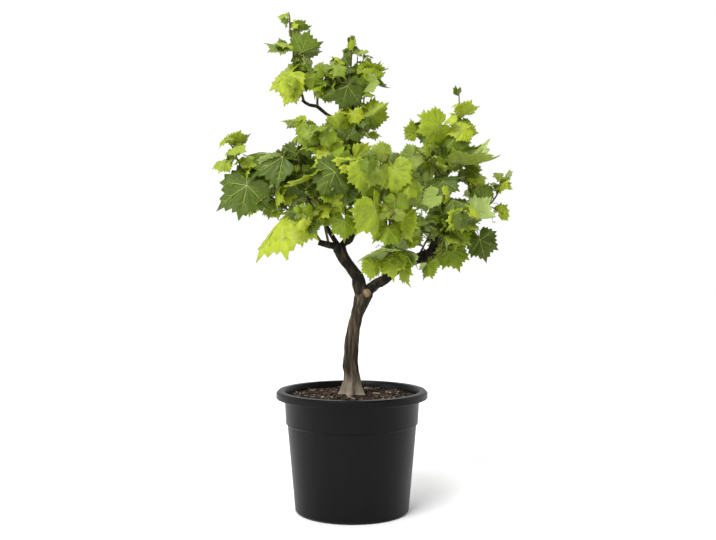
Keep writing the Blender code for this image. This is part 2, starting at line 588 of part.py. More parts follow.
class Crown:
    """The stems, twigs and leaves of every mass, each kept clear of what already grows."""

    def __init__(self):
        self.taken = []
        self.wood = {}
        self.leaves = {}
        self.discs = []
        self.nodes = []

    def take(self, points, faces, mass, kind):
        self.taken.append((BVHTree.FromPolygons(points, faces, epsilon=SPACING), mass, kind))

    def meets(self, points, faces, mass, ignored=()):
        """True if the shape touches anything but its own mass's pieces of the ignored kinds."""
        tree = BVHTree.FromPolygons(points, faces, epsilon=SPACING)
        return any(
            tree.overlap(other)
            for other, owner, kind in self.taken
            if not (owner == mass and kind in ignored)
        )

    def add_wood(self, mass, path, carrier=None):
        self.wood[mass].append(path)
        self.take(*tube_shape(path), mass, "wood")

    def seen_open(self, points):
        """True if these points, seen from the front, lie in the crown's outline and off its sky."""
        for point in points:
            scale = EYE_BACK / (EYE_BACK + point.y)
            x = point.x * scale
            z = EYE_HEIGHT + (point.z - EYE_HEIGHT) * scale
            if any(math.hypot(x - sx, z - sz) < radius for sx, sz, radius in SKY):
                return False
            if not any(math.hypot(x - cx, z - cz) < radius for cx, cz, radius in self.discs):
                return False
        return True

    def free_node(self, place):
        return all((place - node).length > NODE_GAP for node in self.nodes)

    def nearest_wood(self, mass, root, ahead):
        """The free point of the mass's wood that a petiole to this leaf would best leave from."""
        best = None
        for path in self.wood[mass]:
            for near, far in zip(path[1:], path[2:]):
                for share in (0.0, 0.35, 0.7):
                    place = Vector(near[:3]).lerp(Vector(far[:3]), share)
                    to_root = root - place
                    away = max(0.0, -to_root.normalized().dot(ahead))
                    cost = to_root.length * (1 + 1.5 * away)
                    if (best is None or cost < best[0]) and self.free_node(place):
                        best = (cost, place)
        return best[1]

    def add_leaf(self, mass, start, root, ahead, normal, length):
        """Adds a blade with its petiole, and says whether there was room for it."""
        frame = blade_frame(root, ahead, normal, length)
        blade = blade_shape(frame)
        if not self.free_node(start) or self.meets(*blade, mass):
            return False
        run = (root - start).length
        x, y, z = frame.to_3x3().inverted() @ (root - start) * length / run
        places = [start, root]
        if x < 0.4 or abs(y) > 0.6 * max(x, z) or z < -0.3 or run > STRAIGHT_PETIOLE:
            arrival = frame.to_3x3() @ Vector((max(x, 0.5), 0.3 * y, max(z, 0.0)))
            places.insert(1, root - arrival.normalized() * max(SHORTEST_BEND, 0.3 * run))
            if self.crosses(places[:2], blade):
                return False
        thick = TWIG_RADIUS * 0.8 if run > LONGEST_PETIOLE else PETIOLE_RADIUS
        petiole = tapered(places, thick, PETIOLE_RADIUS)
        if self.meets(*tube_shape(petiole), mass, ignored=("wood", "petiole")):
            return False
        self.take(*blade, mass, "blade")
        self.take(*tube_shape(petiole), mass, "petiole")
        self.nodes.append(start)
        self.leaves[mass].append(Leaf(frame, length, petiole))
        return True

    def crosses(self, places, blade):
        """True if a stalk through these places would cut through its own blade."""
        stalk = BVHTree.FromPolygons(*tube_shape(tapered(places, PETIOLE_RADIUS, PETIOLE_RADIUS)))
        return bool(stalk.overlap(BVHTree.FromPolygons(*blade)))


def grow_wood(crown, mass):
    """The stem of one mass and its twigs."""
    plan = MASSES[mass]
    crown.wood[mass] = []
    crown.leaves[mass] = []
    stem = smooth(tapered(plan.stem, STEM_RADIUS, TIP_RADIUS), 2)
    crown.add_wood(mass, stem)
    for share, places in plan.twigs:
        start, _ = point_at(stem, share)
        crown.add_wood(mass, smooth(tapered([start, *places], TWIG_RADIUS, TIP_RADIUS), 2))


def grow_planned_leaves(crown, mass, draw):
    """The leaves of the outline, each moved a little in depth where something is in its way."""
    missed = []
    for blade in MASSES[mass].blades:
        heading = math.radians(blade.points)
        ahead = Vector((math.cos(heading), 0, math.sin(heading)))
        normal = Matrix.Rotation(math.radians(blade.turn), 3, ahead) @ FRONT
        for attempt in range(TRIES):
            shift = 0.006 * attempt * (-1) ** attempt
            root = Vector((blade.x, blade.y + shift, blade.z))
            lean = Vector((0, draw.uniform(-0.25, 0.05), 0))
            start = crown.nearest_wood(mass, root, ahead)
            if crown.add_leaf(mass, start, root, ahead + lean, normal, blade.length):
                break
        else:
            missed.append(blade)
    return missed


def in_space(plan, points):
    """True if the points lie in the mass's own rounded space."""
    return all(
        sum(((p - m) / r) ** 2 for p, m, r in zip(point, plan.middle, plan.reach)) < 1
        for point in points
    )


def grow_ruled_leaves(crown, mass, draw):
    """Leaves at every node along the wood, on alternate sides, smaller towards each tip."""
    plan = MASSES[mass]
    for path in list(crown.wood[mass]):
        length = sum((Vector(b[:3]) - Vector(a[:3])).length for a, b in zip(path, path[1:]))
        nodes = max(2, int(length / NODE_STEP))
        turn = draw.uniform(0, 2 * math.pi)
        for node in range(nodes):
            share = (node + 0.8) / nodes
            start, ahead = point_at(path, min(share, 0.97))
            turn += math.pi + draw.uniform(-0.5, 0.5)
            for _ in range(TRIES):
                size = plan.leaf * (1 - TIP_SHARE * share) * draw.uniform(0.85, 1.2)
                across = ahead.orthogonal().normalized()
                across.rotate(Matrix.Rotation(turn + draw.uniform(-0.9, 0.9), 3, ahead))
                reach = (across + 0.45 * ahead + draw.uniform(0.0, 0.5) * UP).normalized()
                root = start + reach * size * draw.uniform(0.45, 0.95)
                droop = math.radians(draw.uniform(5, 75))
                flat = Vector((reach.x, reach.y, 0)).normalized()
                tip = flat * math.cos(droop) - UP * math.sin(droop)
                outward = Vector((root.x, root.y, 0)).normalized()
                normal = UP + 0.8 * outward + 0.4 * FRONT
                normal.rotate(Matrix.Rotation(draw.gauss(0, 0.45), 3, tip))
                points, _ = blade_shape(blade_frame(root, tip, normal, size))
                if not in_space(plan, points) or not crown.seen_open(points):
                    continue
                if crown.add_leaf(mass, start, root, tip, normal, size):
                    break


def grow_crown():
    """Every mass, grown in turn: first all the wood, then the leaves of the outline, then the rest."""
    draw = random.Random(20)
    crown = Crown()
    crown.take(*tube_shape(smooth(TRUNK, 2), 8, 0.001), "trunk", "limb")
    for name, limb in LIMBS.items():
        crown.take(*tube_shape(smooth(limb.points, 2), 6, 0.001), name, "limb")
    for plan in MASSES.values():
        for blade in plan.blades:
            heading = math.radians(blade.points)
            scale = EYE_BACK / (EYE_BACK + blade.y)
            x = (blade.x + 0.45 * blade.length * math.cos(heading)) * scale
            z = EYE_HEIGHT + (blade.z + 0.45 * blade.length * math.sin(heading) - EYE_HEIGHT) * scale
            crown.discs.append((x, z, OUTLINE_REACH * blade.length + OUTLINE_MARGIN))
    for mass in MASSES:
        grow_wood(crown, mass)
    for mass in MASSES:
        for blade in grow_planned_leaves(crown, mass, draw):
            print(mass, "has no room for", blade)
    for mass in MASSES:
        grow_ruled_leaves(crown, mass, draw)
    return crown


def new_collection(name):
    collection = bpy.data.collections.new(name)
    bpy.context.scene.collection.children.link(collection)
    return collection


def new_object(name, mesh, collection, material=None):
    thing = bpy.data.objects.new(name, mesh)
    collection.objects.link(thing)
    if material:
        thing.data.materials.clear()
        thing.data.materials.append(material)
    return thing


def new_material(name, colour, roughness):
    material = bpy.data.materials.new(name)
    material.use_nodes = True
    shader = material.node_tree.nodes["Principled BSDF"]
    shader.inputs["Base Color"].default_value = (*colour, 1)
    shader.inputs["Roughness"].default_value = roughness
    shader.inputs["Metallic"].default_value = 0
    material.diffuse_color = (*colour, 1)
    return material


def mesh_of(name, points, faces):
    mesh = bpy.data.meshes.new(name)
    mesh.from_pydata(points, [], faces)
    return mesh


def made_solid(thing):
    """Replaces an object's mesh by what its modifiers make of it."""
    bpy.context.view_layer.update()
    mesh = bpy.data.meshes.new_from_object(thing.evaluated_get(bpy.context.evaluated_depsgraph_get()))
    thing.modifiers.clear()
    thing.data = mesh


def turned(name, profile, sides, collection, material):
    """A profile of radius and height, run from the axis down its outer side, turned about Z."""
    mesh = mesh_of(name, [(radius, 0, z) for radius, z in profile], [])
    mesh.edges.add(len(profile) - 1)
    for i, edge in enumerate(mesh.edges):
        edge.vertices = (i, i + 1)
    thing = new_object(name, mesh, collection, material)
    screw = thing.modifiers.new("turn", "SCREW")
    screw.steps = sides
    screw.render_steps = sides
    screw.use_merge_vertices = True
    screw.merge_threshold = 0.0001
    screw.use_smooth_shade = True
    return thing


def cut(thing, cutters, name):
    """A Boolean difference that stays on its object."""
    modifier = thing.modifiers.new(name, "BOOLEAN")
    modifier.operation = "DIFFERENCE"
    modifier.object = cutters
    return modifier


def hidden_cutter(name, mesh, cutters):
    thing = new_object(name, mesh, cutters)
    thing.hide_render = True
    thing.display_type = "WIRE"
    return thing


def pot_wall(swell):
    """Radius and height down the pot's outside below its lip, moved out by swell."""
    return [
        (BAND_TOP_RADIUS + swell, POT_HEIGHT - LIP_DROP),
        (BAND_FOOT_RADIUS + swell, BAND_FOOT),
        (BODY_TOP_RADIUS + swell, BAND_FOOT - STEP_DROP),
        (BASE_RADIUS + swell, BASE_BEVEL),
    ]


def build_pot(parts, cutters, material):
    """A thin tapered wall with a step under its band, a rolled lip and drain holes in a flat floor."""
    inside = pot_wall(-WALL)
    lip = RIM_RADIUS - LIP_THICKNESS
    profile = [(0, FLOOR), (inside[3][0], FLOOR), *reversed(inside[:3])]
    profile += [
        (inside[0][0] + 0.001, POT_HEIGHT - 0.004),
        (inside[0][0] + 0.004, POT_HEIGHT),
        (RIM_RADIUS - 0.004, POT_HEIGHT),
        (RIM_RADIUS, POT_HEIGHT - 0.004),
        (RIM_RADIUS, POT_HEIGHT - LIP_DROP + 0.001),
        (RIM_RADIUS - 0.001, POT_HEIGHT - LIP_DROP),
        (lip, POT_HEIGHT - LIP_DROP),
        (lip - 0.001, POT_HEIGHT - 0.007),
        (BAND_TOP_RADIUS + 0.002, POT_HEIGHT - 0.007),
        *pot_wall(0),
        (BASE_RADIUS - BASE_BEVEL, 0),
        (0, 0),
    ]
    pot = turned("pot", profile, POT_SIDES, parts, material)
    for i in range(DRAIN_HOLES):
        drill = bmesh.new()
        bmesh.ops.create_cone(
            drill, cap_ends=True, segments=8, radius1=DRAIN_RADIUS, radius2=DRAIN_RADIUS, depth=4 * FLOOR
        )
        mesh = bpy.data.meshes.new("drain_cutter")
        drill.to_mesh(mesh)
        drill.free()
        angle = 2 * math.pi * (i + 0.5) / DRAIN_HOLES
        cutter = hidden_cutter(f"drain_cutter_{i}", mesh, cutters)
        cutter.location = (DRAIN_RING * math.cos(angle), DRAIN_RING * math.sin(angle), FLOOR / 2)
        cut(pot, cutter, f"drain_{i}")
    return pot


def build_soil(parts, material):
    """The moist mix that fills the pot, nearly level, with a flat seat under the trunk."""
    side = pot_wall(-WALL - GAP)
    edge = side[0][0] - 0.0002
    foot = side[3][0]
    profile = [
        (0, SOIL_TOP),
        (SOIL_SEAT_RADIUS, SOIL_TOP),
        (SOIL_SEAT_RADIUS + 0.012, SOIL_TOP - 0.002),
        (0.080, SOIL_EDGE + 0.0015),
        (0.110, SOIL_EDGE + 0.001),
        (edge - 0.004, SOIL_EDGE),
        (edge, SOIL_EDGE - 0.003),
        side[1],
        side[2],
        (foot + 0.0003, FLOOR + 0.006),
        (foot - 0.004, FLOOR + GAP),
        (0, FLOOR + GAP),
    ]
    return turned("soil", profile, POT_SIDES, parts, material)


def trunk_mesh(swell):
    """The trunk as a loft: ridges that become roots at its foot die out as it rises."""
    path = smooth(TRUNK, 2)
    loops = rings(path, TRUNK_SIDES, swell)
    foot = path[0][2]
    for place, loop in zip(path, loops):
        middle = Vector(place[:3])
        fade = max(0.0, 1 - (place[2] - foot) / FLARE_HEIGHT) ** 2
        for k, point in enumerate(loop):
            ridge = math.cos(FLARE_ROOTS * 2 * math.pi * k / TRUNK_SIDES + 0.6)
            out = point - middle
            loop[k] = middle + out * (1 + FLARE_DEPTH * fade * (0.4 + ridge) / out.length)
            if place is path[0]:
                loop[k].z = foot
    points = [point for loop in loops for point in loop]
    sides = TRUNK_SIDES
    faces = [tuple(reversed(range(sides))), tuple(range(len(points) - sides, len(points)))]
    for i in range(len(loops) - 1):
        for k in range(sides):
            near = i * sides
            after = (k + 1) % sides
            faces.append((near + k, near + after, near + sides + after, near + sides + k))
    mesh = mesh_of("trunk", points, faces)
    mesh.shade_smooth()
    mesh.set_sharp_from_angle(angle=math.radians(50))
    return mesh


def curve_mesh(name, path, bevel_resolution, swell=0.0):
    """A round tapering limb: a bevelled curve made a mesh, with its caps welded on."""
    curve = bpy.data.curves.new(name, "CURVE")
    curve.dimensions = "3D"
    curve.bevel_depth = 1.0
    curve.bevel_resolution = bevel_resolution
    curve.use_fill_caps = True
    spline = curve.splines.new("POLY")
    spline.points.add(len(path) - 1)
    for point, (x, y, z, radius) in zip(spline.points, path):
        point.co = (x, y, z, 1)
        point.radius = radius + swell
    thing = new_object(name, curve, bpy.context.scene.collection)
    bpy.context.view_layer.update()
    mesh = bpy.data.meshes.new_from_object(thing.evaluated_get(bpy.context.evaluated_depsgraph_get()))
    bpy.data.objects.remove(thing)
    bpy.data.curves.remove(curve)
    solid = bmesh.new()
    solid.from_mesh(mesh)
    bmesh.ops.remove_doubles(solid, verts=solid.verts, dist=0.00001)
    bmesh.ops.recalc_face_normals(solid, faces=solid.faces)
    solid.to_mesh(mesh)
    solid.free()
    mesh.shade_smooth()
    mesh.set_sharp_from_angle(angle=math.radians(50))
    return mesh


def longer(path, extra):
    """The same path, run on past its end."""
    last = Vector(path[-1][:3])
    ahead = (last - Vector(path[-2][:3])).normalized()
    return [*path[:-1], (*(last + ahead * extra), path[-1][3])]


def build_limbs(parts, cutters, material):
    """The trunk and every limb, and for each a slightly larger copy that shapes what grows from it."""
    new_object("trunk", trunk_mesh(0), parts, material)
    shapers = {"trunk": hidden_cutter("trunk_cutter", trunk_mesh(GAP), cutters)}
    for name, limb in LIMBS.items():
        path = smooth(limb.points, 2)
        fineness = 2 if path[0][3] > THICK_LIMB else 1
        thing = new_object(name, curve_mesh(name, path, fineness), parts, material)
        swollen = curve_mesh(name + "_cutter", longer(path, GAP), fineness, GAP)
        shapers[name] = hidden_cutter(name + "_cutter", swollen, cutters)
        for carrier in limb.carriers:
            cut(thing, shapers[carrier], f"clear_of_{carrier}")
    return shapers


def flaw_in(solid):
    """A place where the joined solid isn't a closed skin, or None."""
    bmesh.ops.remove_doubles(solid, verts=solid.verts, dist=SAME_PLACE)
    bmesh.ops.dissolve_degenerate(solid, edges=solid.edges, dist=SAME_PLACE)
    return next((vertex.co.copy() for vertex in solid.verts if not vertex.is_manifold), None)


def keep_largest_body(solid):
    """Keeps the largest closed body, which fills sealed hollows and drops loose scraps."""
    left = set(solid.verts)
    bodies = []
    while left:
        edge = [left.pop()]
        body = set(edge)
        while edge:
            vertex = edge.pop()
            for link in vertex.link_edges:
                other = link.other_vert(vertex)
                if other in left:
                    left.remove(other)
                    body.add(other)
                    edge.append(other)
        bodies.append(body)
    bodies.sort(key=len)
    for body in bodies[:-1]:
        bmesh.ops.delete(solid, geom=list(body), context="VERTS")


def join_mass(name, crown, leaves, mass, shaper):
    """Joins one mass's stem, twigs and leaves, cuts it clear of its limb, and gives back any flaw's place."""
    pieces = new_collection(name + "_pieces")
    stem, *twigs = crown.wood[name]
    shapes = [tube_shape(path) for path in twigs] + [leaf_shape(leaf) for leaf in leaves]
    for i, (points, faces) in enumerate(shapes):
        new_object(f"{name}_piece_{i}", mesh_of(name, points, faces), pieces)
    mass.data = mesh_of(name, *tube_shape(stem, 4))
    union = mass.modifiers.new("join", "BOOLEAN")
    union.operation = "UNION"
    union.operand_type = "COLLECTION"
    union.collection = pieces
    union.solver = "EXACT"
    made_solid(mass)
    for piece in list(pieces.objects):
        bpy.data.objects.remove(piece)
    bpy.data.collections.remove(pieces)
    cut(mass, shaper, "clear_of_limb")
    made_solid(mass)
    solid = bmesh.new()
    solid.from_mesh(mass.data)
    flaw = flaw_in(solid)
    keep_largest_body(solid)
    bmesh.ops.triangulate(solid, faces=solid.faces)
    solid.to_mesh(mass.data)
    solid.free()
    return flaw


def build_mass(name, crown, parts, shapers, material):
    """One mass of leaves as one body. A leaf that spoils the join is left off."""
    leaves = list(crown.leaves[name])
    mass = new_object(name, mesh_of(name, [], []), parts)
    while True:
        flaw = join_mass(name, crown, leaves, mass, shapers[MASSES[name].limb])
        if flaw is None:
            break
        leaves.remove(min(leaves, key=lambda leaf: (leaf.frame.to_translation() - flaw).length))
    mass.data.materials.clear()
    mass.data.materials.append(material)
    print(name, "leaves", len(leaves), "of", len(crown.leaves[name]), "faces", len(mass.data.polygons))


def main():
    for thing in list(bpy.data.objects):
        bpy.data.objects.remove(thing)
    parts = new_collection("potted grapevine")
    cutters = new_collection("cutters")
    cutters.hide_render = True
    build_pot(parts, cutters, new_material("black pot plastic", (0.012, 0.012, 0.012), 0.45))
    build_soil(parts, new_material("potting mix", (0.035, 0.025, 0.018), 0.95))
    shapers = build_limbs(parts, cutters, new_material("old vine bark", (0.045, 0.032, 0.022), 0.9))
    crown = grow_crown()
    leaf = new_material("vine leaf", (0.16, 0.26, 0.02), 0.5)
    for name in MASSES:
        build_mass(name, crown, parts, shapers, leaf)


main()
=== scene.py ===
"""The potted grapevine as it looks: bark, soil, pot and leaves in the frame of its solids.

Metres, +Z up. The crown is grown by the same rule as the solids and then carried to smaller leaves.
"""

import math
import random
from collections import namedtuple

import bmesh
import bpy
import numpy as np
from mathutils import Euler, Matrix, Vector, noise
from mathutils.bvhtree import BVHTree


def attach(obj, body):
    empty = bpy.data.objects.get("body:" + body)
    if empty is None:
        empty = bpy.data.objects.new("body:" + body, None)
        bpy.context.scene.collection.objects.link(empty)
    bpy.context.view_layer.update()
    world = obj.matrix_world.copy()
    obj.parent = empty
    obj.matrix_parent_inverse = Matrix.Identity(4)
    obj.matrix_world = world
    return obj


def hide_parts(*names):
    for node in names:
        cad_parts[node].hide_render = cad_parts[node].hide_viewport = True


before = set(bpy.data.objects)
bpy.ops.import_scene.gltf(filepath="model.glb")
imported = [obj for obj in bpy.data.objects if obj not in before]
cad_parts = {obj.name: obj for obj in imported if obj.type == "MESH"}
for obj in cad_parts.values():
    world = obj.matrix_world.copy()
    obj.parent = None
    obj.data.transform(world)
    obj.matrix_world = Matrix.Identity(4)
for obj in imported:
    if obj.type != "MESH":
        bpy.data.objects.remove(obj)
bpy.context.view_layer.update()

# The photograph's camera: its picture in pixels, its place in metres and its tilt in degrees
PHOTO_WIDE = 716
FOCAL_PX = 1008
CAMERA_RIGHT = 0.0119
CAMERA_BACK = 1.997
CAMERA_HEIGHT = 0.527
LOOK_DOWN = 1.40

# Pot, a 12 litre round container with a rolled rim
POT_HEIGHT = 0.240
RIM_RADIUS = 0.150
RIM_ROUND = 0.004
LIP_DROP = 0.0145
LIP_THICKNESS = 0.003
LIP_HOLLOW_TOP = 0.007
LIP_HOLLOW_FOOT = 0.002
EDGE_ROUND = 0.001
BAND_TOP_RADIUS = 0.1335
BAND_FOOT_RADIUS = 0.131
BAND_FOOT = 0.1755
STEP_DROP = 0.003
BODY_TOP_RADIUS = 0.128
BASE_RADIUS = 0.113
BASE_BEVEL = 0.004
WALL = 0.0025
FLOOR = 0.004
DRAIN_HOLES = 8
DRAIN_RADIUS = 0.006
DRAIN_RING = 0.088
DRAIN_SIDES = 8
POT_SIDES = 144
SHARP_ANGLE = 35

# Soil, mounded a little towards the trunk, and the bark chips strewn on it
SOIL_TOP = 0.2317
SOIL_EDGE = 0.2262
SOIL_DEPTH = 0.012
SOIL_EDGE_GAP = 0.0006
SOIL_FOOT_SHARE = 0.98
SOIL_RINGS = 30
SOIL_SIDES = 96
SOIL_RELIEF = [(55, 0.0022), (160, 0.0008)]
MOUND_RADIUS = 0.10
CHIPS = 1300
CHIP_LENGTH = (0.003, 0.0065)
CHIP_WIDTH_SHARE = (0.3, 0.7)
CHIP_THICKNESS = (0.0006, 0.0014)
CHIP_UNEVEN = (0.65, 1.0)
CHIP_TILT = 0.3
CHIP_LIFT = 0.0006
CHIP_EDGE_GAP = 0.006
LONG_CHIP = 1.5
LONG_CHIP_SHARE = 0.12
CHIP_TONES = ("dark chip", "brown chip", "pale chip")
CHIP_TONE_SHARES = (0.55, 0.32, 0.13)

# Trunk: x, y, z and radius up its middle, from the flat cut at the soil to the fork
TRUNK = [
    (0.0012, 0, 0.232, 0.019), (0.0012, 0, 0.238, 0.0175), (0.0008, 0, 0.248, 0.0165),
    (0.001, 0.001, 0.261, 0.0156), (-0.003, 0.003, 0.286, 0.0144), (-0.002, 0.004, 0.31, 0.0132),
    (-0.001, 0.003, 0.335, 0.0121), (0.003, 0.001, 0.36, 0.0119), (0.008, 0, 0.381, 0.0115),
    (0.014, 0, 0.402, 0.0128), (0.0195, 0, 0.418, 0.0155), (0.0255, 0, 0.431, 0.0162),
    (0.029, 0, 0.4395, 0.012),
]

# Limbs: x, y, z and radius along each, from inside the limb that carries it to its end
LIMBS = {
    "arm_left": [
        (0.02, 0, 0.43, 0.0135), (0.0152, 0, 0.4467, 0.0135), (0.0119, 0, 0.4617, 0.0122),
        (0.002, 0, 0.477, 0.011), (-0.0087, 0, 0.492, 0.0104), (-0.0198, 0, 0.5073, 0.011),
        (-0.0245, 0, 0.52, 0.0125), (-0.024, 0, 0.53, 0.0105),
    ],
    "arm_right": [
        (0.0277, 0, 0.434, 0.0105), (0.0396, 0, 0.4439, 0.0102), (0.0515, -0.001, 0.4518, 0.0098),
        (0.0653, -0.002, 0.46, 0.0095), (0.095, -0.003, 0.4855, 0.0098), (0.1307, -0.003, 0.501, 0.01),
        (0.153, -0.002, 0.508, 0.0118), (0.165, 0, 0.518, 0.014), (0.169, 0, 0.535, 0.0115),
    ],
    "spur_left": [
        (-0.024, 0, 0.525, 0.0075), (-0.0424, 0, 0.5271, 0.0066), (-0.0665, 0, 0.533, 0.0055),
    ],
    "leader": [
        (-0.023, 0.001, 0.52, 0.0072), (-0.015, 0.004, 0.532, 0.007), (-0.003, 0.006, 0.54, 0.0064),
        (0.009, 0.007, 0.5726, 0.0058), (0.0175, 0.007, 0.6, 0.0062), (0.0095, 0.006, 0.613, 0.0052),
        (0.002, 0.004, 0.6261, 0.005), (-0.004, 0.002, 0.656, 0.0046), (-0.0059, 0, 0.6855, 0.0043),
        (-0.002, 0, 0.7113, 0.0041), (0.004, 0, 0.74, 0.0038),
    ],
    "bough_top_left": [
        (-0.001, 0, 0.728, 0.0036), (-0.0099, 0.002, 0.752, 0.0036), (-0.028, 0.004, 0.772, 0.0035),
        (-0.0487, 0.005, 0.7855, 0.0034), (-0.0683, 0.005, 0.801, 0.0033),
        (-0.0851, 0.004, 0.8051, 0.0031), (-0.099, 0.002, 0.814, 0.0028),
    ],
    "cane_right": [
        (0.169, 0, 0.529, 0.0055), (0.1715, -0.002, 0.56, 0.005), (0.1742, -0.003, 0.5865, 0.0043),
    ],
    "spur_right": [
        (0.166, 0.002, 0.523, 0.0055), (0.185, 0.004, 0.536, 0.005), (0.205, 0.003, 0.55, 0.0042),
    ],
    "bough_back_left": [
        (-0.024, 0.002, 0.522, 0.0058), (-0.033, 0.024, 0.535, 0.0052), (-0.05, 0.048, 0.562, 0.0046),
        (-0.072, 0.075, 0.595, 0.0038),
    ],
    "bough_back_right": [
        (0.0175, 0.007, 0.6, 0.0046), (0.03, 0.03, 0.612, 0.0044), (0.05, 0.06, 0.63, 0.004),
        (0.072, 0.09, 0.648, 0.0034),
    ],
}

# Where the sky shows through the crown, seen from the front: x, z and radius. The growth plan's eye
# stands this far in front of the trunk and this high.
SKY = [
    (0.06, 0.676, 0.008), (0.006, 0.66, 0.006), (-0.083, 0.606, 0.016), (-0.044, 0.553, 0.008),
    (0.001, 0.524, 0.01), (0.172, 0.705, 0.008), (0.165, 0.652, 0.008), (0.198, 0.64, 0.018),
    (0.228, 0.634, 0.01), (0.212, 0.614, 0.01), (0.115, 0.523, 0.012), (0.02, 0.497, 0.014),
]
EYE_BACK = 4.26
EYE_HEIGHT = 0.94

